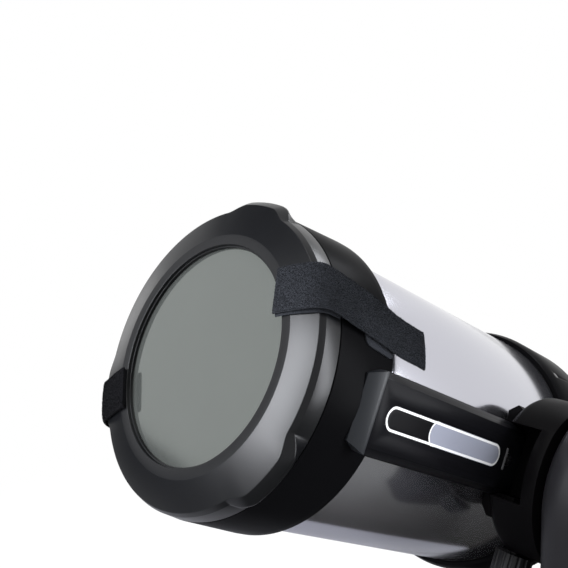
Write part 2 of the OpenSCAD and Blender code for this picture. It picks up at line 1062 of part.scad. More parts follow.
// ---------- fork arm ----------
module arm_outline(inset) {
    waist_y = waist_half - inset;
    waist_z = axis_height - waist_h;
    translate([0, axis_height])
        circle(r = head_r - inset);
    polygon([[-head_r + inset, axis_height], [-waist_y, waist_z],
             [-foot_half + inset, base_top], [foot_half - inset, base_top],
             [waist_y, waist_z], [head_r - inset, axis_height]]);
}

module arm_slab(x, t, inset) {
    translate([x, 0, 0])
        rotate([90, 0, 90])
            linear_extrude(t)
                arm_outline(inset);
}

module arm_inner_shell() {
    color("#6a6a70")
        difference() {
            union() {
                difference() {
                    arm_slab(arm_x, arm_split_x - arm_x, 0);
                    arm_slab(arm_x + shell_wall, arm_t, shell_wall);
                    box([arm_x + shell_wall, -foot_half + shell_wall, base_top - 5],
                        [arm_out_x, foot_half - shell_wall, base_top + 5]);
                }
                for (p = screw_points)
                    along_x(arm_x + shell_wall - eps, p[0], p[1])
                        cylinder(r = 5, h = arm_t - 2 * shell_wall - 0.2);
            }
            along_x(arm_x - 1, 0, axis_height)
                cylinder(r = hub_r + 1.5, h = 20);
            for (p = screw_points)
                along_x(arm_out_x - shell_wall - 20, p[0], p[1])
                    cylinder(r = 2 + fit_gap, h = 30);
        }
}

module arm_outer_shell() {
    color("#6a6a70")
        difference() {
            arm_slab(arm_split_x + fit_gap, arm_out_x - arm_split_x - fit_gap, 0);
            arm_slab(arm_x, arm_t - shell_wall, shell_wall);
            box([arm_x, -foot_half + shell_wall, base_top - 5],
                [arm_out_x - shell_wall, foot_half - shell_wall, base_top + 5]);
            along_x(arm_x, 0, axis_height)
                cylinder(r = 9.4, h = arm_t + 10);
            for (p = screw_points)
                along_x(arm_out_x - shell_wall - 5, p[0], p[1])
                    cylinder(r = 2 + fit_gap, h = 10);
            for (p = screw_points)
                along_x(arm_out_x - 2.4, p[0], p[1])
                    cylinder(r = 4, h = 10);
            handle_ends()
                cylinder(r = handle_bolt_r + fit_gap, h = shell_wall + 6);
        }
}

module arm_screws() {
    color("dimgray")
        for (p = screw_points)
            along_x(arm_out_x, p[0], p[1]) {
                span(2, -22, -2.4);
                span(3.8, -2.4, -0.2);
            }
}

module arm_casting() {
    wall = 5;
    half = bearing_r + 8;
    color("darkgray")
        difference() {
            union() {
                along_x(casting_x, 0, axis_height)
                    cylinder(r = half, h = casting_end_x - casting_x);
                box([casting_x, -half, chassis_z + chassis_t], [casting_end_x, half, axis_height]);
            }
            box([casting_x + wall, -half + wall, chassis_z + chassis_t - 1],
                [casting_end_x - wall, half - wall, axis_height - half]);
            along_x(casting_x - 1, 0, axis_height)
                cylinder(r = shaft_r + 4, h = 80);
            for (x = [casting_x - 1, casting_end_x - bearing_t])
                along_x(x, 0, axis_height)
                    cylinder(r = bearing_r + shaft_gap, h = bearing_t + 1);
        }
}

module altitude_bearings() {
    color("silver")
        for (x = [casting_x, casting_end_x - bearing_t])
            along_x(x, 0, axis_height)
                ring(bearing_r, shaft_r + shaft_gap, bearing_t);
}

module altitude_worm() {
    color("goldenrod")
        translate([altitude_worm_x, 0, altitude_worm_z])
            rotate([90, 0, 0]) {
                span(worm_r, -worm_half, worm_half);
                span(worm_shaft_r, worm_half, altitude_motor_y + 12);
            }
}

module altitude_motor() {
    end = altitude_worm_z - motor_r;
    color("#404044")
        difference() {
            union() {
                translate([altitude_worm_x, 0, altitude_worm_z])
                    rotate([90, 0, 0])
                        span(motor_r, altitude_motor_y, altitude_motor_y + motor_l);
                box([casting_end_x + 0.1, -altitude_motor_y - 20, end - 8],
                    [altitude_worm_x + motor_r - 2, -worm_half - 3, end + 4]);
            }
            translate([altitude_worm_x, 0, altitude_worm_z])
                rotate([90, 0, 0])
                    span(worm_shaft_r + shaft_gap, altitude_motor_y - 1, altitude_motor_y + 14);
        }
}

module altitude_clutch_knob() {
    color("#2a2a2c")
        along_x(arm_out_x + 0.5, 0, axis_height) {
            knurled(clutch_r, 20, 30);
            span(9, wheel_x + wheel_t + nut_t + 1 - arm_out_x - 0.5, eps);
        }
}

module handle_ends() {
    for (z = [handle_z + post_inset, handle_z + handle_l - post_inset])
        along_x(arm_out_x - shell_wall - 4, 0, z)
            children();
}

module carry_handle() {
    color("#2a2a2c") {
        translate([handle_x, 0, handle_z])
            cylinder(r = handle_r, h = handle_l);
        for (z = [handle_z + post_inset, handle_z + handle_l - post_inset])
            along_x(arm_out_x, 0, z)
                cylinder(r = post_r, h = handle_reach);
        handle_ends()
            cylinder(r = handle_bolt_r, h = shell_wall + 6);
    }
}

// ---------- turning base ----------
module base_outline(inset) {
    half = foot_half + 6 - inset;
    end = arm_out_x + 6 - inset;
    corner = 20 - inset;
    circle(r = base_r - inset, $fn = 180);
    translate([0, -half])
        square([end - corner, 2 * half]);
    translate([0, -half + corner])
        square([end, 2 * (half - corner)]);
    for (side = [-1, 1])
        translate([end - corner, side * (half - corner)])
            circle(r = corner);
}

module base_housing() {
    edge = 6;
    color("#2c2c30")
        difference() {
            union() {
                translate([0, 0, base_bottom])
                    linear_extrude(base_top - edge - base_bottom)
                        base_outline(0);
                translate([0, 0, base_top - edge - eps])
                    linear_extrude(edge + eps)
                        base_outline(edge / 2);
            }
            translate([0, 0, base_bottom - 1])
                linear_extrude(base_top - base_wall - base_bottom + 1)
                    base_outline(base_wall + edge / 2);
            cylinder(r = 8.4, h = far);
            box([arm_x + shell_wall + 1, -foot_half + shell_wall + 1, base_top - 20],
                [arm_out_x - shell_wall - 1, foot_half - shell_wall - 1, base_top + 1]);
            panel_space(0.2);
        }
}

module panel_space(gap) {
    box([-panel_x - 12, -panel_w / 2 - gap, panel_z - gap],
        [-panel_x + 12, panel_w / 2 + gap, panel_z + panel_h + gap]);
}

module base_chassis() {
    color("darkgray")
        difference() {
            union() {
                translate([0, 0, chassis_z])
                    linear_extrude(chassis_t)
                        intersection() {
                            base_outline(base_wall + 3.4);
                            translate([-base_r + 20, -far])
                                square([2 * far, 2 * far]);
                        }
                span(spindle_r + 9, chassis_z, azimuth_wheel_z - 0.4);
            }
            span(spindle_r + shaft_gap, 0, far);
        }
}

module azimuth_worm() {
    color("goldenrod")
        along_x(0, azimuth_worm_y, azimuth_worm_z) {
            span(worm_r, -worm_half, worm_half);
            span(worm_shaft_r, -azimuth_motor_x - 12, -worm_half);
        }
}

module azimuth_motor() {
    color("#404044")
        difference() {
            union() {
                along_x(0, azimuth_worm_y, azimuth_worm_z)
                    span(motor_r, -azimuth_motor_x - motor_l, -azimuth_motor_x);
                box([-azimuth_motor_x - 26, azimuth_worm_y - 10, chassis_z + chassis_t],
                    [-azimuth_motor_x - 4, azimuth_worm_y + 10, azimuth_worm_z - motor_r + 3]);
            }
            along_x(0, azimuth_worm_y, azimuth_worm_z)
                span(worm_shaft_r + shaft_gap, -azimuth_motor_x - 14, -azimuth_motor_x + 1);
        }
}

module azimuth_clutch_knob() {
    color("#2a2a2c") {
        translate([0, 0, base_top + 0.5])
            knurled(34, 17, 26);
        span(8, spindle_top + 1, base_top + 1);
    }
}

module battery_pack() {
    color("#3c5a78")
        translate([battery_x, battery_y, chassis_z + chassis_t])
            cube([battery_l, battery_w, battery_h]);
}

module port_panel() {
    face_x = -panel_x - 3;
    color("#1a1a1c")
        difference() {
            box([face_x, -panel_w / 2, panel_z], [-panel_x + 9, panel_w / 2, panel_z + panel_h]);
            for (y = [-30, -12])
                box([face_x - 1, y - 6, panel_z + 12], [face_x + 9, y + 6, panel_z + 22]);
            along_x(face_x - 1, 10, panel_z + panel_h / 2)
                cylinder(r = 4, h = 10);
            along_x(face_x - 1, button_y, panel_z + panel_h / 2)
                cylinder(r = button_r + 0.2, h = 10);
        }
}

module power_button() {
    color("orangered")
        along_x(-panel_x - 5.5, button_y, panel_z + panel_h / 2)
            cylinder(r = button_r, h = 11.5 - button_travel - 0.5);
}

// ---------- fixed stand ----------
module base_plate() {
    color("#2c2c30")
        difference() {
            union() {
                cylinder(r = plate_r, h = plate_t);
                span(spindle_r + 12, 0, plate_t + 4);
                span(spindle_r, 0, spindle_top);
                span(azimuth_wheel_d / 2, azimuth_wheel_z, azimuth_wheel_z + azimuth_wheel_t);
            }
            span(pin_bore_d / 2, -1, far);
            for (i = [0:2])
                rotate([0, 0, 60 + i * 120])
                    translate([tripod_pcd / 2, 0, 0])
                        span(tripod_hole_d / 2, -1, plate_t + 1);
        }
}

module azimuth_bearing() {
    color("silver")
        span_ring(spindle_r + 11, spindle_r + 2, plate_t + 4, chassis_z - 0.1);
}

module rubber_feet() {
    color("#111111")
        for (i = [0:2])
            rotate([0, 0, i * 120])
                translate([foot_circle_r, 0, 0])
                    span(foot_r, -foot_h, 0);
}

tube();
front_cell();
corrector_plate();
corrector_retainer();
retainer_screws();
secondary_holder();
secondary_mirror();
secondary_baffle();
collimation_screws();
rear_cell();
rear_cell_screws();
baffle_tube();
mirror_carrier();
primary_mirror();
focus_housing();
focus_screw();
focus_knob();
visual_back();
visual_back_screw();
diagonal_body();
diagonal_mirror();
eyepiece_screw();
eyepiece_body();
eyepiece_lens();
eyecup();
dovetail_bar();
bar_badge();
bar_bumper();
bar_screws();
hook_patches();
filter_frame();
filter_film();
film_ring();
right_strap();
left_strap();
saddle_body();
clamp_jaw();
clamp_knob();
altitude_shaft();
altitude_bearings();
altitude_wheel();
altitude_worm();
altitude_motor();
altitude_clutch_knob();
arm_casting();
arm_inner_shell();
arm_outer_shell();
arm_screws();
carry_handle();
base_housing();
base_chassis();
azimuth_bearing();
azimuth_worm();
azimuth_motor();
azimuth_clutch_knob();
battery_pack();
port_panel();
power_button();
base_plate();
rubber_feet();
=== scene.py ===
import json
import math

import bmesh
import bpy
from mathutils import Matrix, Vector


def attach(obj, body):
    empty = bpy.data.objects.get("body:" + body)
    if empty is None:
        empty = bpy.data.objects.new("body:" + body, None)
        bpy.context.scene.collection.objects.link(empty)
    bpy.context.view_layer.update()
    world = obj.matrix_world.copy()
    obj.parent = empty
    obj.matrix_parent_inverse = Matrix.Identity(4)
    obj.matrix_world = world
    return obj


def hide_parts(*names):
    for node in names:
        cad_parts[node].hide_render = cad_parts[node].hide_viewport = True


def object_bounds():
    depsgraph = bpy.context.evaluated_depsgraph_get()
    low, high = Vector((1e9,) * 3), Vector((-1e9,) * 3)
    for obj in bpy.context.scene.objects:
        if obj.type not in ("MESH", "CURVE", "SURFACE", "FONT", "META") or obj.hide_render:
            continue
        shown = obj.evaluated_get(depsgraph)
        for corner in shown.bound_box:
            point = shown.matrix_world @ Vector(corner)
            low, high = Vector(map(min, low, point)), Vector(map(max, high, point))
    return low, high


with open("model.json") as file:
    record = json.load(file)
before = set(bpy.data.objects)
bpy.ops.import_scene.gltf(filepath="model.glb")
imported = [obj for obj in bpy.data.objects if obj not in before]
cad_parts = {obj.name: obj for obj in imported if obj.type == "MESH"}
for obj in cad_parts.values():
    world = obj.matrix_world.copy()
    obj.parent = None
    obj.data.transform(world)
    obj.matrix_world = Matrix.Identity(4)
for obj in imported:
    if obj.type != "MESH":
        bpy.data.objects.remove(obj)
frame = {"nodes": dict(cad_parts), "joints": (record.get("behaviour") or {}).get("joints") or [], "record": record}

cad_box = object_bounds()
scene = bpy.context.scene
MM = 0.001
WORLD = Matrix.Identity(4)

# -------- the tube's own frame
# Three directions: forward along the tube, side towards the fork arm, and up across both.
joints = {joint["name"]: joint for joint in frame["joints"]}
forward = Vector(joints["balance_slide"]["axis"]).normalized()
side = Vector((1, 0, 0))
up = forward.cross(side).normalized()
tilt_point = Vector(joints["altitude_tilt"]["pos_m"])
tilt_point.x = 0
TUBE = Matrix((side, up, forward)).transposed().to_4x4()
TUBE.translation = tilt_point
TUBE_INVERSE = TUBE.inverted()


def tube_point(x, y, z):
    """A point of the tube's frame in metres: x to the arm, y up, z forward from the altitude axis."""
    return TUBE @ Vector((x, y, z))


class Extent:
    """How far a CAD node reaches in the tube's frame, or in the world frame."""

    def __init__(self, node, place=TUBE):
        inverse = place.inverted()
        points = [inverse @ v.co for v in frame["nodes"][node].data.vertices]
        self.radius = max(math.hypot(p.x, p.y) for p in points)
        self.inner = min(math.hypot(p.x, p.y) for p in points)
        self.low = Vector([min(p[i] for p in points) for i in range(3)])
        self.high = Vector([max(p[i] for p in points) for i in range(3)])
        self.mid = (self.low + self.high) / 2
        self.size = self.high - self.low


cap = Extent("filter_frame")
cell = Extent("front_cell")
tube = Extent("tube")
bar = Extent("dovetail_bar")
badge = Extent("bar_badge")


# -------- node trees
class Graph:
    """A node tree with short ways to add nodes. A value is a constant or the output of another node."""

    def __init__(self, tree):
        self.tree = tree

    def feed(self, node, inputs):
        """Gives a node's inputs their values, by socket name or number."""
        for label, value in inputs.items():
            if isinstance(value, bpy.types.NodeSocket):
                self.tree.links.new(value, node.inputs[label])
            else:
                node.inputs[label].default_value = value

    def node(self, kind, inputs=None, **settings):
        """A new node. Its settings come first, because they decide which inputs it shows."""
        made = self.tree.nodes.new(kind)
        for name, value in settings.items():
            setattr(made, name, value)
        self.feed(made, inputs or {})
        return made

    def calc(self, kind, a, b=0.0):
        return self.node("ShaderNodeMath", {0: a, 1: b}, operation=kind).outputs[0]

    def length(self, a, b):
        squares = self.calc("ADD", self.calc("MULTIPLY", a, a), self.calc("MULTIPLY", b, b))
        return self.calc("SQRT", squares)

    def between(self, value, low, high):
        """1 where value lies between low and high."""
        return self.calc("MULTIPLY", self.calc("GREATER_THAN", value, low), self.calc("LESS_THAN", value, high))

    def map_range(self, value, from_min, from_max, to_min=0.0, to_max=1.0):
        limits = {"From Min": from_min, "From Max": from_max, "To Min": to_min, "To Max": to_max}
        return self.node("ShaderNodeMapRange", {"Value": value, **limits}).outputs["Result"]

    def mix_color(self, share, a, b):
        """Color a where share is 0 and color b where it is 1."""
        return self.node("ShaderNodeMix", {"Factor": share, "A": a, "B": b}, data_type="RGBA").outputs["Result"]

    def mix_shader(self, share, a, b):
        return self.node("ShaderNodeMixShader", {0: share, 1: a, 2: b}).outputs[0]

    def noise(self, vector, scale, detail):
        inputs = {"Vector": vector, "Scale": scale, "Detail": detail}
        return self.node("ShaderNodeTexNoise", inputs).outputs["Fac"]

    def place(self, kind="Object"):
        return self.node("ShaderNodeTexCoord").outputs[kind]

    def parts(self, vector):
        return self.node("ShaderNodeSeparateXYZ", {0: vector}).outputs

    def white_where_seen(self, plain, white):
        """Mixes in plain white for rays from the camera, in reflections and through glass."""
        path = self.node("ShaderNodeLightPath").outputs
        seen = self.calc("MAXIMUM", path["Is Camera Ray"], path["Is Transmission Ray"])
        return self.mix_shader(self.calc("MAXIMUM", seen, path["Is Glossy Ray"]), plain, white)


class Paint(Graph):
    """A material's graph with short ways to feed its Principled shader."""

    def __init__(self, name, metallic=0.0, specular=0.5):
        self.material = bpy.data.materials.new(name)
        self.material.use_nodes = True
        super().__init__(self.material.node_tree)
        self.shader = self.tree.nodes["Principled BSDF"]
        self.feed(self.shader, {"Metallic": metallic, "Specular IOR Level": specular})

    def coordinates(self, stretch=(1, 1, 1), along_tube=False):
        """Object coordinates, turned to the tube's frame when along_tube is set, then stretched."""
        vector = self.place()
        if along_tube:
            turn = {"Vector": vector, "Rotation": TUBE_INVERSE.to_euler()}
            vector = self.node("ShaderNodeMapping", turn).outputs[0]
        return self.node("ShaderNodeMapping", {"Vector": vector, "Scale": stretch}).outputs[0]

    def use(self, group, vector, bump=0.0, depth=0.0002, **values):
        """Feeds the shader from a surface group. values are the group's inputs by name."""
        inputs = {label.replace("_", " "): value for label, value in values.items()}
        node = self.node("ShaderNodeGroup", {"Vector": vector, **inputs}, node_tree=group)
        self.feed(self.shader, {"Base Color": node.outputs["Color"], "Roughness": node.outputs["Roughness"]})
        if bump:
            self.bump(node.outputs["Height"], bump, depth)
        return node

    def bump(self, height, strength, depth):
        node = self.node("ShaderNodeBump", {"Strength": strength, "Distance": depth, "Height": height})
        self.feed(self.shader, {"Normal": node.outputs[0]})


def new_group(name, kind, inputs, outputs):
    """A node group with sockets of a name and a sort: its graph, what is given to it, and its output node."""
    tree = bpy.data.node_groups.new(name, kind)
    for label, sort, value in inputs:
        socket = tree.interface.new_socket(name=label, in_out="INPUT", socket_type="NodeSocket" + sort)
        if value is not None:
            socket.default_value = value
    for label, sort in outputs:
        tree.interface.new_socket(name=label, in_out="OUTPUT", socket_type="NodeSocket" + sort)
    graph = Graph(tree)
    return graph, graph.node("NodeGroupInput").outputs, graph.node("NodeGroupOutput")


# -------- camera, light and stage
LENS_MM, SENSOR_MM = 51.4, 36
CAMERA_ASIDE, CAMERA_UP, CAMERA_AHEAD = 0.4585, -0.0063, 0.3477
CAMERA_AZIMUTH, CAMERA_ELEVATION = 49.07, 9.65


def linked(name, data):
    """A new object of the scene."""
    made = bpy.data.objects.new(name, data)
    scene.collection.objects.link(made)
    return made


def plane(name, size, place):
    bpy.ops.mesh.primitive_plane_add(size=size, location=place)
    bpy.context.object.name = name
    return bpy.context.object


def facing(place, aim, axis):
    """The turn that points an axis of its own from a place to an aim."""
    return (Vector(aim) - Vector(place)).to_track_quat(axis, "Y").to_euler()


def make_camera():
    scene.view_settings.view_transform = "Standard"
    data = bpy.data.cameras.new("camera")
    data.lens = LENS_MM
    data.sensor_width = SENSOR_MM
    camera = linked("camera", data)
    camera.location = tube_point(CAMERA_ASIDE, CAMERA_UP, cap.high.z + CAMERA_AHEAD)
    camera.rotation_euler = (math.radians(90 - CAMERA_ELEVATION), 0, math.radians(CAMERA_AZIMUTH))
    scene.camera = camera


def area_light(name, place, aim, size, power, color=(1, 1, 1)):
    """A softbox of so many watts that only its light and its reflections show."""
    data = bpy.data.lights.new(name, "AREA")
    data.shape = "RECTANGLE"
    data.size, data.size_y = size
    data.energy = power
    data.color = color
    lamp = linked(name, data)
    lamp.location = place
    lamp.rotation_euler = facing(place, aim, "-Z")
    lamp.visible_camera = False


FILL_STRENGTH = 0.5


def make_world():
    """White all round where it is seen, and a soft grey fill for the light it gives."""
    world = bpy.data.worlds.new("studio")
    scene.world = world
    world.use_nodes = True
    graph = Graph(world.node_tree)
    graph.tree.nodes.clear()
    white = graph.node("ShaderNodeBackground", {"Color": (1, 1, 1, 1)})
    fill = graph.node("ShaderNodeBackground", {"Strength": FILL_STRENGTH})
    graph.node("ShaderNodeOutputWorld", {"Surface": graph.white_where_seen(fill.outputs[0], white.outputs[0])})


FLOOR_WIDTH, FLOOR_GAP = 240, 0.0002
SHADOW_REACH = (0.3, 1.0)
OWN_LIGHT = (0.75, 1.0)


def make_floor():
    """A wide white paper floor. It shows as white, and a share of its own light keeps the shadow.

    That share grows with the distance from the object."""
    floor = plane("floor", FLOOR_WIDTH, (0, 0, cad_box[0].z - FLOOR_GAP))
    paper = Paint("floor_paper")
    paper.feed(paper.shader, {"Base Color": (0.9, 0.9, 0.9, 1), "Roughness": 0.9})
    white = paper.node("ShaderNodeEmission", {"Strength": 1.0})
    away = paper.node("ShaderNodeVectorMath", {0: paper.place()}, operation="LENGTH")
    share = paper.map_range(away.outputs["Value"], *SHADOW_REACH, *OWN_LIGHT)
    blend = paper.mix_shader(share, paper.shader.outputs[0], white.outputs[0])
    shown = paper.white_where_seen(paper.shader.outputs[0], blend)
    paper.feed(paper.tree.nodes["Material Output"], {"Surface": shown})
    floor.data.materials.append(paper.material)


TONE_RAMP = (-0.5, -0.2)


def make_flag(name, place, aim, size, near_tone, far_tone):
    """A studio card that only shows in reflections, flat on the table unless it is aimed.

    Its tone changes over the share of its width that TONE_RAMP gives, counted from its middle."""
    flag = plane(name, 1, place)
    flag.scale = (size[0], size[1], 1)
    if aim:
        flag.rotation_euler = facing(place, aim, "Z")
    flag.visible_camera = flag.visible_diffuse = flag.visible_shadow = flag.visible_transmission = False
    cloth = Paint(name + "_cloth", specular=0.0)
    across = cloth.map_range(cloth.parts(cloth.place())[0], *TONE_RAMP)
    tone = cloth.mix_color(across, (*near_tone, 1), (*far_tone, 1))
    cloth.feed(cloth.shader, {"Base Color": tone, "Roughness": 0.9})
    flag.data.materials.append(cloth.material)


# -------- materials
def surface_group(name, scale_label, scale, color, tone, roughness, roughness_change):
    """A group whose pattern, so fine per metre, varies a colour, a roughness and a height."""
    return new_group(
        name, "ShaderNodeTree",
        [("Vector", "Vector", (0, 0, 0)), (scale_label, "Float", scale), ("Color", "Color", (*color, 1)),
         ("Tone change", "Float", tone), ("Roughness", "Float", roughness),
         ("Roughness change", "Float", roughness_change)],
        [("Color", "Color"), ("Roughness", "Float"), ("Height", "Float")])


def put_out(graph, given, result, tone, rough, height):
    """Sends out the colour lightened by tone, the roughness changed with rough, and the height.

    Returns the finished group."""
    gain = {0: given["Color"], "Scale": graph.calc("ADD", tone, 1.0)}
    color = graph.node("ShaderNodeVectorMath", gain, operation="SCALE").outputs[0]
    change = graph.calc("MULTIPLY", rough, given["Roughness change"])
    roughness = graph.calc("ADD", change, given["Roughness"])
    graph.feed(result, {"Color": color, "Roughness": roughness, "Height": height})
    return graph.tree


MARKS_PER_METRE = 14


def moulded_grain_group():
    """Fine spark-eroded grain of moulded plastic and paint, with faint handling marks."""
    graph, given, result = surface_group("moulded_grain", "Grain per metre", 1800.0, (0.1, 0.1, 0.1),
                                         0.06, 0.5, 0.08)
    grain = graph.noise(given["Vector"], given["Grain per metre"], detail=2)
    marks = graph.noise(given["Vector"], MARKS_PER_METRE, detail=5)
    centred, speck = graph.calc("SUBTRACT", marks, 0.5), graph.calc("SUBTRACT", grain, 0.5)
    tone = graph.calc("ADD", graph.calc("MULTIPLY", centred, given["Tone change"]),
                      graph.calc("MULTIPLY", speck, given["Tone change"]))
    return put_out(graph, given, result, tone, centred, grain)


def drawn_lines_group():
    """Fine straight lines left by drawing, brushing or turning, along the stretched axis."""
    graph, given, result = surface_group("drawn_lines", "Lines per metre", 900.0, (0.5, 0.5, 0.5),
                                         0.1, 0.3, 0.15)
    lines = graph.noise(given["Vector"], given["Lines per metre"], detail=3)
    centred = graph.calc("SUBTRACT", lines, 0.5)
    tone = graph.calc("MULTIPLY", centred, given["Tone change"])
    return put_out(graph, given, result, tone, centred, lines)


GRAIN = moulded_grain_group()
LINES = drawn_lines_group()


def grained(name, color, roughness, grain, bump, specular=0.5):
    """Moulded plastic, rubber or paint with a fine grain."""
    paint = Paint(name, specular=specular)
    paint.use(GRAIN, paint.coordinates(), bump=bump, Grain_per_metre=grain, Color=(*color, 1),
              Roughness=roughness, Tone_change=0.08)
    return paint.material


def metal(name, color, roughness, lines=900.0, bump=0.1, tone=0.12, along_tube=False):
    """Bare metal with the lines of its working."""
    paint = Paint(name, metallic=1.0)
    paint.use(LINES, paint.coordinates(along_tube=along_tube), bump=bump, depth=0.00005,
              Lines_per_metre=lines, Color=(*color, 1), Roughness=roughness, Tone_change=tone)
    return paint.material


def glass(name, tint):
    paint = Paint(name)
    paint.use(GRAIN, paint.coordinates(), Grain_per_metre=300.0, Color=(*tint, 1), Roughness=0.02,
              Tone_change=0.0, Roughness_change=0.02)
    paint.feed(paint.shader, {"Transmission Weight": 1.0, "IOR": 1.5})
    return paint.material


def film_material():
    """Aluminised film, drawn a little uneven over its ring."""
    paint = Paint("aluminised_film", metallic=0.75)
    paint.use(GRAIN, paint.coordinates(), bump=0.05, depth=0.001, Grain_per_metre=30.0,
              Color=(0.146, 0.157, 0.148, 1), Roughness=0.09, Tone_change=0.05, Roughness_change=0.04)
    return paint.material


def tube_enamel():
    """Smooth metallic silver enamel with a hint of lilac."""
    paint = Paint("tube_enamel", metallic=0.97)
    paint.use(GRAIN, paint.coordinates(), bump=0.012, depth=0.0001, Grain_per_metre=1500.0,
              Color=(0.55, 0.55, 0.603, 1), Roughness=0.13, Tone_change=0.02, Roughness_change=0.03)
    return paint.material


def bar_anodise():
    """Black anodised extrusion with fine lines along its length."""
    paint = Paint("black_anodise", specular=0.03)
    paint.use(LINES, paint.coordinates((1, 1, 0.02), along_tube=True), bump=0.06, depth=0.00005,
              Lines_per_metre=500.0, Color=(0.0042, 0.0042, 0.0052, 1), Roughness=0.34, Tone_change=0.9)
    return paint.material


def loop_pile_material(name, color):
    """Looped hook-and-loop pile: curls of fibre over a knitted back."""
    paint = Paint(name, specular=0.0)
    vector = paint.coordinates()
    curls = paint.node("ShaderNodeTexVoronoi", {"Scale": 1500, "Vector": vector})
    node = paint.use(GRAIN, vector, Grain_per_metre=2600.0, Color=(*color, 1),
                     Roughness=0.92, Tone_change=1.6, Roughness_change=0.05)
    paint.bump(paint.calc("ADD", curls.outputs["Distance"], node.outputs["Height"]), 0.9, 0.0006)
    paint.feed(paint.shader, {"Sheen Weight": 0.03, "Sheen Roughness": 0.5})
    return paint.material


BADGE_LONGER, BADGE_FORWARD = 4.5, 2.6
BORDER = (0.3, 2.0)
ARC_RADIUS, ARC_MIDDLE, ARC_LINE = 9.0, 12.5, (-0.2, 1.0)
ENAMEL_BLACK, ENAMEL_LILAC = (0.004, 0.004, 0.0045, 1), (0.25, 0.262, 0.315, 1)
ENAMEL_WHITE = (0.8, 0.8, 0.8, 1)


def badge_material():
    """Black and lilac-grey enamel fields with a thin white border, laid out by the badge's own UV map.

    u runs along the badge from its middle and v across it, both in millimetres. The black field behind
    ends in an arc."""
    paint = Paint("badge_enamel", specular=0.06)
    calc = paint.calc
    u, v = paint.parts(paint.place("UV"))[:2]
    half = badge.size.y / 2 / MM
    straight = (badge.size.z / MM + BADGE_LONGER) / 2 - half
    past = calc("MAXIMUM", calc("SUBTRACT", calc("ABSOLUTE", u), straight), 0.0)
    border = paint.between(calc("SUBTRACT", half, paint.length(past, v)), *BORDER)
    reach = paint.length(calc("SUBTRACT", u, ARC_MIDDLE), v)
    behind = calc("LESS_THAN", u, ARC_MIDDLE)
    rear_field = calc("MAXIMUM", behind, calc("LESS_THAN", reach, ARC_RADIUS))
    line = paint.between(calc("SUBTRACT", reach, ARC_RADIUS), *ARC_LINE)
    white = calc("MAXIMUM", border, calc("MULTIPLY", line, calc("SUBTRACT", 1.0, behind)))
    fields = paint.mix_color(rear_field, ENAMEL_BLACK, ENAMEL_LILAC)
    paint.use(GRAIN, paint.coordinates(), bump=0.04, depth=0.0001, Grain_per_metre=1200.0,
              Color=paint.mix_color(white, fields, ENAMEL_WHITE), Roughness=0.3, Tone_change=0.03)
    return paint.material


# -------- building pieces
def fillet(points, steps=4):
    """Rounds a closed outline. Each point is (a, b, radius)."""
    result = []
    count = len(points)
    for i, (a, b, radius) in enumerate(points):
        here = Vector((a, b))
        before = Vector(points[i - 1][:2]) - here
        after = Vector(points[(i + 1) % count][:2]) - here
        angle = before.angle(after)
        if radius <= 0 or angle > math.radians(178):
            result += [here.copy() for _ in range(steps + 1)] if radius > 0 else [here]
            continue
        reach = min(radius / math.tan(angle / 2), before.length * 0.49, after.length * 0.49)
        bend = reach * math.tan(angle / 2)
        centre = here + (before.normalized() + after.normalized()).normalized() * math.hypot(reach, bend)
        start = here + before.normalized() * reach - centre
        end = here + after.normalized() * reach - centre
        sweep = start.angle_signed(end)
        for step in range(steps + 1):
            turned = start.copy()
            turned.rotate(Matrix.Rotation(-sweep * step / steps, 2))
            result.append(centre + turned)
    return result


# Points closer than this are one, in the meshes made here and in those of the CAD nodes.
WELD_OWN, WELD_CAD = 0.000002, 0.00001


def make_piece(name, verts, faces, material, body, nodes=(), place=TUBE, angle=32):
    """A closed mesh piece from points in millimetres, in the tube's frame unless place says otherwise.

    Its faces are turned outwards, and edges sharper than angle stay sharp."""
    mesh = bpy.data.meshes.new(name)
    mesh.from_pydata([place @ (Vector(v) * MM) for v in verts], [], faces)
    work = bmesh.new()
    work.from_mesh(mesh)
    bmesh.ops.remove_doubles(work, verts=work.verts, dist=WELD_OWN)
    bmesh.ops.recalc_face_normals(work, faces=work.faces)
    work.to_mesh(mesh)
    work.free()
    coat(mesh, material, angle)
    piece = linked(name, mesh)
    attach(piece, body)
    if nodes:
        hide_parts(*nodes)
    return piece


def coat(mesh, material, angle):
    """Smooth faces with sharp edges past an angle, in one material."""
    for face in mesh.polygons:
        face.use_smooth = True
    mesh.set_sharp_from_angle(angle=math.radians(angle))
    repaint(mesh, material)


def repaint(mesh, material):
    mesh.materials.clear()
    mesh.materials.append(material)


def loop_faces(loops, count, closed=False):
    """Four-sided faces between loops of count points each, and back to the first when closed."""
    faces = []
    for i in range(loops if closed else loops - 1):
        j = (i + 1) % loops
        for k in range(count):
            m = (k + 1) % count
            faces.append((i * count + k, i * count + m, j * count + m, j * count + k))
    return faces


def prism(low, high):
    """A closed solid between two outlines of as many points."""
    count = len(low)
    ends = [tuple(reversed(range(count))), tuple(range(count, 2 * count))]
    return low + high, ends + loop_faces(2, count)


def strip_faces(rows, across, base=0):
    """The faces of a strip: each row holds across + 1 points below and as many on top."""
    row, top = 2 * (across + 1), across + 1
    faces = []
    for i in range(rows):
        a, b = base + i * row, base + (i + 1) * row
        for k in range(across):
            faces.append((a + k, b + k, b + k + 1, a + k + 1))
            faces.append((a + top + k, a + top + k + 1, b + top + k + 1, b + top + k))
        for k in (0, across):
            faces.append((a + k, a + top + k, b + top + k, b + k))
    for i in (0, rows):
        a = base + i * row
        for k in range(across):
            faces.append((a + k, a + k + 1, a + top + k + 1, a + top + k))
    return faces


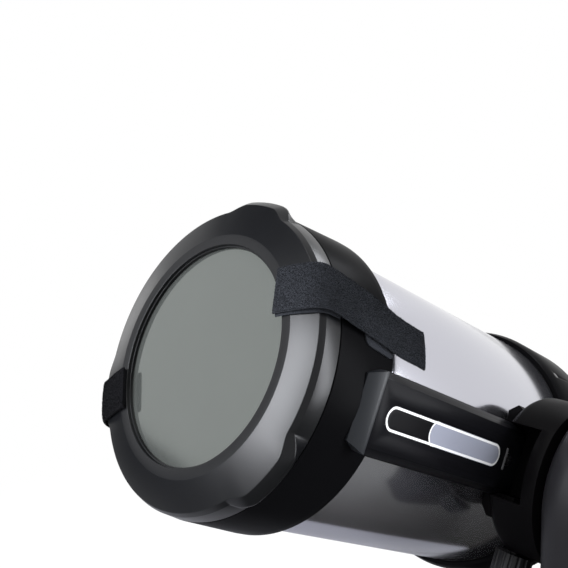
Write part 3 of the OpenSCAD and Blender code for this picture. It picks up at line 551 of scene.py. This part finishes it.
def lathe(profile, front, segments, other=None, share=None):
    """Turns a closed profile (radius, height from front) in millimetres about the tube's axis.

    front is in metres. other is a second profile of as many points, and share(angle, point) says how
    much of it shows."""
    verts, faces = [], []
    count = len(profile)
    for i in range(segments):
        angle = 2 * math.pi * i / segments
        for k, point in enumerate(profile):
            p = point.lerp(other[k], share(angle, k)) if other else point
            verts.append((p.x * math.cos(angle), p.x * math.sin(angle), front / MM + p.y))
    for i in range(segments):
        j = (i + 1) % segments
        for k in range(count):
            m = (k + 1) % count
            if profile[k].x > 0 or profile[m].x > 0:
                faces.append((i * count + k, j * count + k, j * count + m, i * count + m))
    return verts, faces


def settle(piece):
    """Applies all modifiers of a piece."""
    graph = bpy.context.evaluated_depsgraph_get()
    graph.update()
    mesh = bpy.data.meshes.new_from_object(piece.evaluated_get(graph))
    piece.modifiers.clear()
    piece.data = mesh


def plain_faces(mesh):
    """A bmesh of a CAD node's mesh with its triangles joined into the flat faces they make up."""
    work = bmesh.new()
    work.from_mesh(mesh)
    bmesh.ops.remove_doubles(work, verts=work.verts, dist=WELD_CAD)
    bmesh.ops.dissolve_limit(work, angle_limit=math.radians(1.0), verts=work.verts, edges=work.edges)
    return work


slot_of = {part["node"]: part["material_slot"] for part in frame["record"]["subparts"]}
body_of = {node: body for body, names in frame["record"]["behaviour"]["bodies"].items() for node in names}
BROKEN_EDGE_ANGLE = 35


def softened(node, material, width, steps=2, shape=None):
    """A copy of a CAD node with its machined or moulded edges broken, by width in millimetres.

    shape(point), when given, moves each point in the tube's frame first."""
    mesh = frame["nodes"][node].data.copy()
    work = plain_faces(mesh)
    if shape:
        for vert in work.verts:
            vert.co = TUBE @ shape(TUBE_INVERSE @ vert.co)
    work.to_mesh(mesh)
    work.free()
    piece = linked(node + "_finished", mesh)
    edge = piece.modifiers.new("edge", "BEVEL")
    edge.width = width * MM
    edge.segments = steps
    edge.limit_method = "ANGLE"
    edge.angle_limit = math.radians(BROKEN_EDGE_ANGLE)
    edge.use_clamp_overlap = True
    edge.miter_outer = "MITER_ARC"
    settle(piece)
    coat(piece.data, material, BROKEN_EDGE_ANGLE)
    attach(piece, body_of[node])
    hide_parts(node)


# -------- solar filter
LEDGE_W, LEDGE_DROP, FILM_DROP = 1.2, 2.5, 5.0
ledge_r = cap.inner / MM
window_r = ledge_r + LEDGE_W
flat_ring_r = 88.7
cell_r = cell.radius / MM
skirt_r = 113.2
cap_depth = 20.9
bevel_r, bevel_drop = 109.5, 4.7
edge_r, edge_drop = 111.5, 8.9
bevel_slope = bevel_drop / (bevel_r - flat_ring_r)
lobe_rise = cap.radius / MM - edge_r
BEVEL_SHARE, LOBE_LEAN = 0.56, 0.54
LOBE_ANGLES = (88, 208, 328)


def bevel_end(rise):
    return bevel_r + rise * BEVEL_SHARE, -bevel_drop - rise * BEVEL_SHARE * bevel_slope


def edge_end(rise):
    return edge_r + rise, -edge_drop - rise * LOBE_LEAN


def cap_outline(rise):
    """The cap's section: its front points come first, then the hollow behind them."""
    return fillet([
        (window_r, 0, 0.45), (flat_ring_r, 0, 0.7), (*bevel_end(rise), 0.9),
        (*edge_end(rise), 0.8 + rise * 0.25), (skirt_r, -cap_depth, 0.3), (110.2, -cap_depth, 0.3),
        (110.2, -9.4, 0.4), (107.0, -6.0, 0.4), (86.1, -6.0, 0.2), (86.1, -FILM_DROP, 0.1),
        (ledge_r, -FILM_DROP, 0.1), (ledge_r, -LEDGE_DROP, 0.25), (window_r, -LEDGE_DROP, 0.1)], 3)


LOBE_HALF, RAMP_WIDTH = 17.0, 9.5


def lobe_share(degrees, crisp=False):
    """1 on the three lobes, 0 between them. The rim's ramps start soft and the skirt's start crisp."""
    away = min(abs((degrees - centre + 180) % 360 - 180) for centre in LOBE_ANGLES)
    t = min(max((LOBE_HALF - away) / RAMP_WIDTH, 0), 1)
    return t * (2 - t) if crisp else t * t * (3 - 2 * t)


def make_filter(frame_paint, film_paint):
    steps = 4
    rim_points = 3 * steps

    def share(angle, point):
        return lobe_share(math.degrees(angle), crisp=point >= rim_points)

    verts, faces = lathe(cap_outline(0), cap.high.z, 720, cap_outline(lobe_rise), share)
    make_piece("cap_shell", verts, faces, frame_paint, "solar_filter", ["filter_frame"])
    film_r, film_back = window_r + 4.6, -FILM_DROP - 0.5
    film = fillet([(0, -FILM_DROP, 0), (film_r, -FILM_DROP, 0), (film_r, film_back, 0), (0, film_back, 0)])
    verts, faces = lathe(film, cap.high.z, 192)
    make_piece("window_film", verts, faces, film_paint, "solar_filter", ["filter_film"],
               angle=60)


# -------- straps
STRAP_W, STRAP_T, LINING_T = 32.0, 1.8, 1.6
RIGHT_STRAP_HEADING, LEFT_STRAP_ANGLE = 17.2, 211.5


def evenly(points, count):
    """The polyline through points, as count points the same distance apart."""
    steps = [(b - a).length for a, b in zip(points, points[1:])]
    total = sum(steps)
    result, k, passed = [], 0, 0.0
    for i in range(count):
        goal = total * i / (count - 1)
        while k < len(steps) - 1 and passed + steps[k] < goal:
            passed += steps[k]
            k += 1
        result.append(points[k].lerp(points[k + 1], min(max((goal - passed) / steps[k], 0), 1)))
    return result


def relaxed(points, rounds):
    """Softens the bends of a polyline and keeps its ends."""
    for _ in range(rounds):
        inner = [(a + 2 * b + c) / 4 for a, b, c in zip(points, points[1:], points[2:])]
        points = [points[0], *inner, points[-1]]
    return points


BEND_ROUNDS = 22


def heading_vector(degrees):
    return Vector((math.cos(math.radians(degrees)), math.sin(math.radians(degrees))))


def polar_angle(point):
    return math.degrees(math.atan2(point.y, point.x))


def strap_threads(start_r, start_angle, heading, over_cap, back, width, shift=0.0, across=16, count=150):
    """Lines along the inner face of a strap: flat over the ring, over the cap's edge and back.

    over_cap(angle) gives the points (radius, height) from the ring over the edge, and back the
    points (radius, height, turn) along the cell, where turn is how far the strap has swung round.
    shift moves the strap sideways."""
    ahead, middle = heading_vector(heading), heading_vector(start_angle) * start_r
    beside = Vector((-ahead.y, ahead.x))
    threads = []
    for k in range(across + 1):
        start = middle + beside * (width * (k / across - 0.5) + shift)
        dot = start.dot(ahead)
        line = []
        crossing = start
        for stage, (r, _) in enumerate(over_cap(0.0)):
            run = -dot + math.sqrt(max(dot * dot - start.length_squared + r * r, 0))
            if run <= 0:
                continue
            crossing = start + ahead * run
            height = over_cap(polar_angle(crossing))[stage][1]
            line.append(Vector((crossing.x, crossing.y, height)))
        angle = polar_angle(crossing)
        line.insert(0, Vector((start.x, start.y, line[0].z)))
        for r, height, turn in back(angle):
            a = math.radians(angle + turn)
            line.append(Vector((r * math.cos(a), r * math.sin(a), height)))
        threads.append(relaxed(evenly(line, count), BEND_ROUNDS))
    return threads


def outward(point):
    """Away from the tube's axis and forward."""
    return Vector((point.x, point.y, 0)).normalized() + Vector((0, 0, 1))


FLAT_SHARE, RIM_THINNING = 0.86, 0.3


def lay_ribbon(name, threads, thick, material, replaced):
    """A woven strip with rounded edges over its threads' inner face."""
    rows, across = len(threads[0]), len(threads) - 1
    front = cap.high.z / MM
    verts, run = [], 0.0
    middle = threads[across // 2]
    for i in range(rows):
        if i:
            run += (middle[i] - middle[i - 1]).length
        for layer in (0, 1):
            for k in range(across + 1):
                along = threads[k][min(i + 1, rows - 1)] - threads[k][max(i - 1, 0)]
                beside = threads[min(k + 1, across)][i] - threads[max(k - 1, 0)][i]
                out = along.cross(beside).normalized()
                p = threads[k][i]
                if out.dot(outward(p)) < 0:
                    out.negate()
                rim = max(0.0, abs(2 * k / across - 1) - FLAT_SHARE) / (1 - FLAT_SHARE)
                thinning = RIM_THINNING * rim ** 2
                q = p + out * thick * (1 - thinning if layer else thinning)
                verts.append((q.x, q.y, q.z + front))
    piece = make_piece(name, verts, strip_faces(rows - 1, across), material, "solar_filter", replaced,
                       angle=50)
    return piece


def pile_tree():
    """Short tufts of fibre standing on the faces marked as outer."""
    graph, given, result = new_group(
        "strap_pile", "GeometryNodeTree",
        [("Geometry", "Geometry", None), ("Tufts per square metre", "Float", 3.6e6),
         ("Tuft height", "Float", 0.0007), ("Seed", "Int", 7), ("Fibre", "Material", None)],
        [("Geometry", "Geometry")])
    outer = graph.node("GeometryNodeInputNamedAttribute", {"Name": "outer"}, data_type="BOOLEAN")
    scatter = graph.node("GeometryNodeDistributePointsOnFaces", {
        "Mesh": given["Geometry"], "Selection": outer.outputs["Attribute"],
        "Density": given["Tufts per square metre"], "Seed": given["Seed"]}).outputs
    tuft = graph.node("GeometryNodeMeshCone", {
        "Vertices": 3, "Radius Top": 0.00005, "Radius Bottom": 0.00022, "Depth": given["Tuft height"]},
        fill_type="NONE")
    size = graph.node("FunctionNodeRandomValue", {2: 0.5, 3: 1.15, "Seed": given["Seed"]}, data_type="FLOAT")
    stand = graph.node("GeometryNodeInstanceOnPoints", {
        "Points": scatter["Points"], "Instance": tuft.outputs["Mesh"], "Rotation": scatter["Rotation"],
        "Scale": size.outputs[1]})
    lean = graph.node("FunctionNodeRandomValue", {
        0: (-0.8, -0.8, -3.1), 1: (0.8, 0.8, 3.1), "Seed": given["Seed"]}, data_type="FLOAT_VECTOR")
    turn = graph.node("GeometryNodeRotateInstances", {
        "Instances": stand.outputs["Instances"], "Rotation": lean.outputs[0]})
    real = graph.node("GeometryNodeRealizeInstances", {"Geometry": turn.outputs["Instances"]})
    paint = graph.node("GeometryNodeSetMaterial", {
        "Geometry": real.outputs["Geometry"], "Material": given["Fibre"]})
    graph.feed(result, {"Geometry": paint.outputs["Geometry"]})
    return graph.tree


def cover_with_pile(ribbon, name, material, seed):
    """Tufts over the outer side of a strap, as one mesh of their own."""
    mesh = ribbon.data.copy()
    turned = TUBE_INVERSE.to_3x3()
    marks = [(turned @ face.normal).dot(outward(TUBE_INVERSE @ face.center)) > 0.1 for face in mesh.polygons]
    mesh.attributes.new("outer", "BOOLEAN", "FACE").data.foreach_set("value", marks)
    pile = linked(name, mesh)
    tree = bpy.data.node_groups.get("strap_pile") or pile_tree()
    grow = pile.modifiers.new("pile", "NODES")
    grow.node_group = tree
    values = {"Seed": seed, "Fibre": material}
    for socket in tree.interface.items_tree:
        if socket.item_type == "SOCKET" and socket.in_out == "INPUT" and socket.name in values:
            grow[socket.identifier] = values[socket.name]
    settle(pile)
    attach(pile, "solar_filter")


def cell_s(back_of_cell):
    """Height from the cap's front of a point that lies so far behind the front cell's back edge."""
    return (cell.low.z - cap.high.z) / MM - back_of_cell


LINING_PATH = [(84.0, 0.2), (88.7, 0.2), (98.0, -1.7), (106.0, -3.5)]


def make_right_strap(material):
    """Lies across the flat ring at a slant, over the edge and slanting down the cell to a free end."""
    def over_cap(angle):
        return [(84.0, 2.0), (94.0, 1.9), (102.0, 1.5), (109.0, 0.5), (113.2, -1.8)]

    def back(angle):
        pinch = 31.0 - angle
        return [(115.8, -4.6, 0.0), (116.8, -9.0, -0.4), (117.0, -15.0, -0.9), (117.0, -30.0, -2.2),
                (117.3, -48.0, -3.6 + 0.03 * pinch), (117.9, -64.0, -5.4 + 0.08 * pinch),
                (118.2, cell_s(0), -7.0 + 0.13 * pinch), (119.8, cell_s(7), -7.8 + 0.18 * pinch),
                (122.2, cell_s(14.5), -8.8 + 0.23 * pinch), (124.4, cell_s(21), -9.7 + 0.26 * pinch)]

    threads = strap_threads(81.3, 41.3, RIGHT_STRAP_HEADING, over_cap, back, STRAP_W)
    strap = lay_ribbon("right_strap_ribbon", threads, STRAP_T, material, ["right_strap"])
    cover_with_pile(strap, "right_strap_pile", material, 11)

    def on_cap(angle):
        return [*LINING_PATH, (109.8, -4.5)]

    def over_edge(angle):
        return [(112.3, -8.4, 0.0), (113.2, -13.0, -0.4), (114.0, -18.0, -0.8)]

    lining = strap_threads(81.9, 41.0, RIGHT_STRAP_HEADING, on_cap, over_edge, STRAP_W - 0.5,
                           shift=-1.6, count=60)
    lay_ribbon("right_strap_lining", lining, LINING_T, material, [])


def make_left_strap(material):
    """Runs straight out over the lower left lobe."""
    def lobe(angle):
        return lobe_rise * lobe_share(angle)

    def over_cap(angle):
        rise = lobe(angle)
        return [(84.0, 2.0), (90.0, 1.6), (98.0, -0.4), (106.0, -2.0), (109.5, -2.8 - rise * 0.03)]

    def back(angle):
        rise = lobe(angle)
        edge = edge_end(rise)
        rim = bevel_end(rise)
        return [(rim[0] + 1.2, rim[1] + 1.4, 0.0), (edge[0] + 2.3, edge[1] + 0.6, 0.0),
                (edge[0] + 1.9, edge[1] - 4.0, 0.0), (skirt_r + rise * 0.6 + 2.2, -cap_depth, 0.0),
                (117.6, -48.0, 0.0), (117.9, -64.0, 0.0), (118.2, cell_s(0), 0.0),
                (119.8, cell_s(7), 0.0), (122.2, cell_s(15), 0.0), (124.6, cell_s(22.5), 0.0)]

    threads = strap_threads(80.4, LEFT_STRAP_ANGLE, LEFT_STRAP_ANGLE, over_cap, back, STRAP_W)
    strap = lay_ribbon("left_strap_ribbon", threads, STRAP_T, material, ["left_strap"])
    cover_with_pile(strap, "left_strap_pile", material, 23)

    def on_cap(angle):
        return LINING_PATH

    def over_edge(angle):
        rim = bevel_end(lobe(angle))
        return [(rim[0] - 1.0, rim[1] + 0.5, 0.0)]

    lining = strap_threads(80.9, LEFT_STRAP_ANGLE, LEFT_STRAP_ANGLE, on_cap, over_edge, STRAP_W - 1.0,
                           shift=0.4, count=40)
    lay_ribbon("left_strap_lining", lining, LINING_T, material, [])


def make_patches(material):
    """Hook patches on the cell, with rounded corners, under each strap."""
    half, corner, lifts = 16.0, 5.0, (0.1, 1.2)
    back = cell.low.z / MM
    low, high, taper = back + 3, back + 32, back + CELL_BAND
    slope = (cell_r - shoulder_r) / (cell.high.z / MM - land_depth - taper)
    verts, faces = [], []
    rows, across = 24, 16
    for centre, slant in ((28.3, 0.08), (LEFT_STRAP_ANGLE, 0.0)):
        base = len(verts)
        for i in range(rows + 1):
            z = low + (high - low) * i / rows
            reach = min(z - low, high - z, corner)
            width = half - corner + math.sqrt(max(corner ** 2 - (corner - reach) ** 2, 0))
            side_r = cell_r - max(0, z - taper) * slope
            middle = centre + slant * (z - high)
            for lift in lifts:
                for k in range(across + 1):
                    angle = math.radians(middle) + width * (2 * k / across - 1) / cell_r
                    r = side_r + lift
                    verts.append((r * math.cos(angle), r * math.sin(angle), z))
        faces += strip_faces(rows, across, base)
    make_piece("hook_pads", verts, faces, material, "tube_assembly", ["hook_patches"], angle=40)


# -------- tube and cells
land_depth = 11.7
shoulder_r = 113.4
tube_r = tube.radius / MM
CELL_BAND = 8
LIP_OUT, LIP_WALL, LIP_STEP = 1.3, 2, 3.4
SEAT_DEPTH, SHELF_DEPTH, SOCKET_DEPTH = 4.0, 8.0, 39.5
SOCKET_IN, BORE_IN, BORE_LENGTH = 3.1, 7.0, 52


def make_front_cell(material):
    """The cell's section, from the lip round its front to the sockets for the tube and the corrector."""
    back = (cell.low.z - cell.high.z) / MM
    lip_r = tube_r + LIP_OUT
    wall_r = lip_r - LIP_WALL
    shelf_r, bore_r, socket_r = wall_r - LIP_STEP, tube_r - BORE_IN, tube_r - SOCKET_IN
    profile = fillet([
        (wall_r, 0, 0.3), (lip_r, 0, 0.4), (lip_r, -land_depth, 0.2), (shoulder_r, -land_depth, 0.6),
        (cell_r, back + CELL_BAND, 3.0), (cell_r, back + 2.0, 1.0), (cell_r - 2.0, back, 1.0),
        (tube_r + 0.1, back, 0.3), (tube_r + 0.1, -SOCKET_DEPTH, 0.1), (socket_r, -SOCKET_DEPTH, 0.1),
        (socket_r, back + BORE_LENGTH, 0.1), (bore_r, back + BORE_LENGTH, 0.1), (bore_r, -SHELF_DEPTH, 0.1),
        (shelf_r, -SHELF_DEPTH, 0.1), (shelf_r, -SEAT_DEPTH, 0.1), (wall_r, -SEAT_DEPTH, 0.1)], 3)
    verts, faces = lathe(profile, cell.high.z, 320)
    make_piece("corrector_cell", verts, faces, material, "tube_assembly", ["front_cell"])


def make_tube(material):
    length, inner_r = tube.size.z / MM, tube_r - 1.5
    profile = fillet([(tube_r, 0, 0.3), (tube_r, -length, 0.3), (inner_r, -length, 0.3), (inner_r, 0, 0.3)], 2)
    verts, faces = lathe(profile, tube.high.z, 360)
    make_piece("tube_skin", verts, faces, material, "tube_assembly", ["tube"])


# -------- badge and bar
def make_badge(material):
    """A pill-shaped plate with a domed edge and a UV map in millimetres from its middle."""
    half_l, half_w = (badge.size.z / MM + BADGE_LONGER) / 2, badge.size.y / 2 / MM
    floor_x, top_x = badge.low.x / MM, bar.high.x / MM + 0.3
    rings = [(0.0, floor_x), (0.0, top_x - 0.3), (0.12, top_x - 0.1), (0.35, top_x), (half_w * 0.5, top_x)]
    steps = 24
    mid_z = badge.mid.z / MM + BADGE_FORWARD
    verts = []
    for inset, x in rings:
        r = half_w - inset
        for end in (1, -1):
            for k in range(steps + 1):
                angle = math.pi * k / steps + (0 if end > 0 else math.pi)
                verts.append((x, r * math.cos(angle), mid_z + end * (half_l - half_w) + r * math.sin(angle)))
    ring = 2 * (steps + 1)
    faces = loop_faces(len(rings), ring)
    faces.append(tuple(range(ring)))
    last = (len(rings) - 1) * ring
    faces += [(last + k, last + k + 1, last + ring - 2 - k, last + ring - 1 - k) for k in range(steps)]
    piece = make_piece("badge_plate", verts, faces, material, "tube_assembly", ["bar_badge"],
                       angle=30)
    layer = piece.data.uv_layers.new(name="badge")
    for loop in piece.data.loops:
        p = TUBE_INVERSE @ piece.data.vertices[loop.vertex_index].co
        layer.data[loop.index].uv = (p.z / MM - mid_z, p.y / MM)


STRIP_FRONT, STRIP_BACK, STRIP_HALF, STRIP_LIFT = 56.8, 54.8, 8.6, 0.5
SCREW_RIM_R, SCREW_RIM_WIRE, SCREW_RIM_SUNK, SCREW_BEHIND_BADGE = 4.8, 0.45, 0.35, 12


def make_bar_details(strip_material, ring_material):
    """A thin stop strip across the bar behind the badge, and the rim of the screw sunk beside it."""
    face = bar.high.x / MM
    outline = fillet([(STRIP_FRONT, -STRIP_HALF, 0.5), (STRIP_FRONT, STRIP_HALF, 0.5),
                      (STRIP_BACK, STRIP_HALF, 0.5), (STRIP_BACK, -STRIP_HALF, 0.5)], 2)
    verts, faces = prism([(face - 0.2, p.y, p.x) for p in outline],
                         [(face + STRIP_LIFT, p.y, p.x) for p in outline])
    make_piece("bar_stop_strip", verts, faces, strip_material, "tube_assembly")
    around, section = 48, 8
    middle = badge.low.z / MM - SCREW_BEHIND_BADGE
    verts = []
    for i in range(around):
        place = heading_vector(360 * i / around)
        for k in range(section):
            wire = heading_vector(360 * k / section) * SCREW_RIM_WIRE
            r = SCREW_RIM_R + wire.x
            verts.append((face - SCREW_RIM_SUNK + wire.y, r * place.x, middle + r * place.y))
    make_piece("bar_screw_rim", verts, loop_faces(around, section, closed=True), ring_material,
               "tube_assembly")


# -------- star diagonal
LID_THICK, LID_LARGER = 0.9, 1.05


def make_mirror_cover(material):
    """The shallow lid over the back and the edges of the diagonal's mirror."""
    work = plain_faces(frame["nodes"]["diagonal_mirror"].data)
    body = frame["nodes"]["diagonal_body"].data
    body_middle = sum((v.co for v in body.vertices), Vector()) / len(body.vertices)
    backs = [face for face in work.faces if face.normal.dot(face.calc_center_median() - body_middle) > 0]
    back = max(backs, key=lambda face: face.calc_area())
    middle = back.calc_center_median()
    outline = [(middle + (v.co - middle) * LID_LARGER) / MM for v in back.verts]
    out = back.normal.copy()
    depth = max(out.dot(middle - v.co) for v in work.verts) / MM
    work.free()
    verts, faces = prism([p - out * depth for p in outline], [p + out * LID_THICK for p in outline])
    make_piece("diagonal_cover", verts, faces, material, "diagonal",
               place=WORLD)


# -------- saddle and fork arm
SADDLE_FACE = cell.radius + 0.0014
CHANNEL_TOP, TOP_SHARE = 0.029, 0.82


def lowered_top(point):
    """The saddle's disc sits a little low: its upper part is drawn down towards the bar's channel."""
    if point.y > CHANNEL_TOP and point.x > SADDLE_FACE:
        point = Vector((point.x, CHANNEL_TOP + (point.y - CHANNEL_TOP) * TOP_SHARE, point.z))
    return point


arm_inner = Extent("arm_inner_shell", WORLD)
axis_height = tilt_point.z / MM
head_r = arm_inner.high.z / MM - axis_height
FOOT_WIDER, WAIST_NARROWER, WAIST_DROP = 6, 8, 120
ARM_ROUND, ARM_WALL, HUB_HOLE_R, ARM_DEPTH = 22.0, 4.0, 37.5, 41.0


def arm_ring(inset, lift=0.0):
    """The arm's closed outline as (y, height above the axis), drawn in by inset on its sides and head."""
    foot = arm_inner.low.z / MM - axis_height + lift
    left = [Vector((inset - head_r - FOOT_WIDER, foot)),
            Vector((inset - head_r + WAIST_NARROWER, -WAIST_DROP)), Vector((inset - head_r, 0))]
    side_line = relaxed(evenly(left, 40), 30)
    arc = [heading_vector(180 * (1 - k / 60)) * (head_r - inset) for k in range(1, 60)]
    other = [Vector((-p.x, p.y)) for p in reversed(side_line)]
    bottom = [other[-1].lerp(side_line[0], k / 12) for k in range(1, 12)]
    return side_line + arc + other + bottom


def make_arm_inner(material):
    """The arm's half towards the tube: a shell with a broad rounded edge and a round hole for the hub."""
    face_x = arm_inner.low.x / MM
    split_x = min(arm_inner.high.x / MM, face_x + ARM_DEPTH)
    steps = 10
    outer, inner = [(split_x, 0.0)], []
    for k in range(steps + 1):
        turn = math.pi / 2 * k / steps
        for ring, r, wall in ((outer, ARM_ROUND, 0.0), (inner, ARM_ROUND - ARM_WALL, ARM_WALL)):
            ring.append((face_x + wall + r * (1 - math.sin(turn)), wall + r * (1 - math.cos(turn))))
    inner.insert(0, (split_x, ARM_WALL))
    rings = [[(x, *p) for p in arm_ring(inset)] for x, inset in outer]
    hole = [p.normalized() * HUB_HOLE_R for p in arm_ring(ARM_ROUND)]
    rings.append([(face_x, *p) for p in hole])
    rings.append([(face_x + ARM_WALL, *p) for p in hole])
    rings += [[(x, *p) for p in arm_ring(inset, ARM_WALL)] for x, inset in reversed(inner)]
    verts = [(x, tilt_point.y / MM + y, axis_height + z) for ring in rings for x, y, z in ring]
    make_piece("arm_inner_cover", verts, loop_faces(len(rings), len(rings[0]), closed=True), material, "fork",
               ["arm_inner_shell"], place=WORLD, angle=35)


# -------- finishes
cell_paint = grained("cell_crinkle", (0.0028, 0.0028, 0.0032), 0.3, grain=1400, bump=0.06, specular=0.008)
cap_plastic = grained("cap_plastic", (0.0035, 0.0037, 0.0044), 0.3, grain=2200, bump=0.06, specular=0.19)
strap_pile = loop_pile_material("loop_pile", (0.026, 0.028, 0.033))
# The left strap is the same pile as the right one, painted darker: painted shade for a strap that lies in shade.
painted_shade_pile = loop_pile_material("loop_pile_deep", (0.005, 0.005, 0.006))
film_paint = film_material()
tube_paint = tube_enamel()
bar_paint = bar_anodise()
saddle_paint = grained("saddle_powder_coat", (0.0025, 0.0023, 0.0027), 0.42, grain=1300, bump=0.1,
                       specular=0.03)
arm_plastic = grained("arm_plastic", (0.0105, 0.0102, 0.0118), 0.45, grain=1500, bump=0.1, specular=0.18)
base_plastic = grained("base_plastic", (0.011, 0.011, 0.0125), 0.45, grain=1500, bump=0.1, specular=0.25)
knob_plastic = grained("knob_rubber", (0.007, 0.007, 0.008), 0.5, grain=1800, bump=0.1, specular=0.25)
bumper_rubber = grained("bumper_rubber", (0.0105, 0.012, 0.0145), 0.4, grain=2000, bump=0.08, specular=0.2)
foot_rubber = grained("foot_rubber", (0.015, 0.015, 0.015), 0.8, grain=1500, bump=0.5)
steel = metal("machined_steel", (0.55, 0.55, 0.56), 0.28)
badge_paint = badge_material()
metal_black = grained("black_metal", (0.008, 0.008, 0.009), 0.35, grain=1200, bump=0.06, specular=0.3)
strip_paint = grained("stop_strip", (0.13, 0.13, 0.135), 0.4, grain=1500, bump=0.1)

finishes = {
    "tube_metal": tube_paint, "cell_black": cell_paint, "black_anodised": bar_paint,
    "filter_plastic": cap_plastic, "filter_film": film_paint, "strap_fabric": strap_pile,
    "charcoal_rubber": bumper_rubber, "black_rubber": foot_rubber, "badge_plastic": badge_paint,
    "arm_plastic": arm_plastic, "base_plastic": base_plastic, "knob_plastic": knob_plastic,
    "machined_steel": steel, "cast_metal_black": saddle_paint,
    "brass": metal("brass", (0.72, 0.5, 0.2), 0.3),
    "optics_mirror": metal("mirror_coat", (0.9, 0.91, 0.92), 0.03, lines=300, bump=0.0, tone=0.01,
                           along_tube=True),
    "cast_metal": metal("cast_alloy", (0.35, 0.35, 0.36), 0.5, lines=500, bump=0.3),
    "motor_paint": grained("motor_can", (0.12, 0.12, 0.13), 0.4, grain=900, bump=0.1),
    "battery_wrap": grained("battery_wrap", (0.05, 0.12, 0.25), 0.35, grain=300, bump=0.1),
    "button_orange": grained("button_orange", (0.75, 0.16, 0.02), 0.4, grain=1500, bump=0.1),
    "clear_glass": glass("clear_glass", (0.95, 0.97, 0.96))}
for node_name, node in frame["nodes"].items():
    repaint(node.data, finishes[slot_of[node_name]])
blued_steel = metal("blued_steel", (0.12, 0.12, 0.125), 0.35)
for node_name in ("arm_screws", "rear_cell_screws"):
    repaint(frame["nodes"][node_name].data, blued_steel)


# -------- the studio
cap_centre = tube_point(0, 0, cap.high.z)


def from_cap(x, y, z, distance):
    """A point so far from the cap's centre, in a direction of the tube's frame."""
    return cap_centre + (TUBE.to_3x3() @ Vector((x, y, z)).normalized()) * distance


make_camera()
make_world()
make_floor()
COOL, BLACK = (0.93, 0.95, 1.0), (0.01, 0.01, 0.01)
area_light("overhead", (0.2, -0.7, 2.2), (0, -0.1, 0.4), (1.6, 1.2), 20)
area_light("rim_softbox", from_cap(-0.3, 0.0, 0.95, 1.6), cap_centre, (0.56, 0.95), 62, COOL)
area_light("side_softbox", from_cap(0.81, 0.28, -0.48, 1.3), cap_centre, (0.36, 1.0), 20.5, COOL)
make_flag("table_card", (0.425, 0.2, 0.2), None, (0.78, 1.6), (0.032, 0.03, 0.027), (0.12, 0.12, 0.11))
make_flag("rim_card", (-0.14, 0.2, 0.19), None, (0.4, 1.6), (0.4, 0.4, 0.42), (0.36, 0.36, 0.38))
make_flag("corner_flag", (-1.15, -1.15, 0.22), cap_centre, (1.7, 0.9), BLACK, BLACK)
area_light("left_softbox", from_cap(-0.99, 0.05, 0.1, 1.5), cap_centre, (0.3, 0.42), 0.8)
area_light("back_softbox", from_cap(0.0, 0.86, -0.51, 1.3), cap_centre, (0.26, 0.26), 3.2, COOL)
make_flag("ceiling_flag", (-1.1, -0.73, 1.68), cap_centre, (1.7, 0.95), BLACK, BLACK)

# -------- the pieces
make_filter(cap_plastic, film_paint)
make_right_strap(strap_pile)
# The left strap, its lining and its tufts take the darker pile, which is painted shade.
make_left_strap(painted_shade_pile)
make_patches(strap_pile)
make_front_cell(cell_paint)
make_tube(tube_paint)
make_badge(badge_paint)
make_bar_details(strip_paint, steel)
make_arm_inner(arm_plastic)
softened("clamp_jaw", saddle_paint, 1.0)
softened("clamp_knob", knob_plastic, 0.8)
softened("arm_outer_shell", arm_plastic, 2.6, steps=3)
softened("base_housing", base_plastic, 1.6, steps=3)
softened("base_plate", base_plastic, 1.2)
softened("carry_handle", base_plastic, 1.5, steps=3)
softened("rear_cell", cell_paint, 0.8)
softened("visual_back", metal_black, 0.5)
softened("diagonal_body", knob_plastic, 0.8)
make_mirror_cover(knob_plastic)
softened("eyepiece_body", metal_black, 0.5)
softened("eyecup", foot_rubber, 0.8)
softened("focus_knob", knob_plastic, 0.7)
softened("rubber_feet", foot_rubber, 1.0)
softened("altitude_clutch_knob", knob_plastic, 0.7)
softened("azimuth_clutch_knob", knob_plastic, 0.7)
softened("saddle_body", saddle_paint, 1.2, shape=lowered_top)
softened("dovetail_bar", bar_paint, 0.5)
softened("bar_bumper", bumper_rubber, 1.3, steps=3)
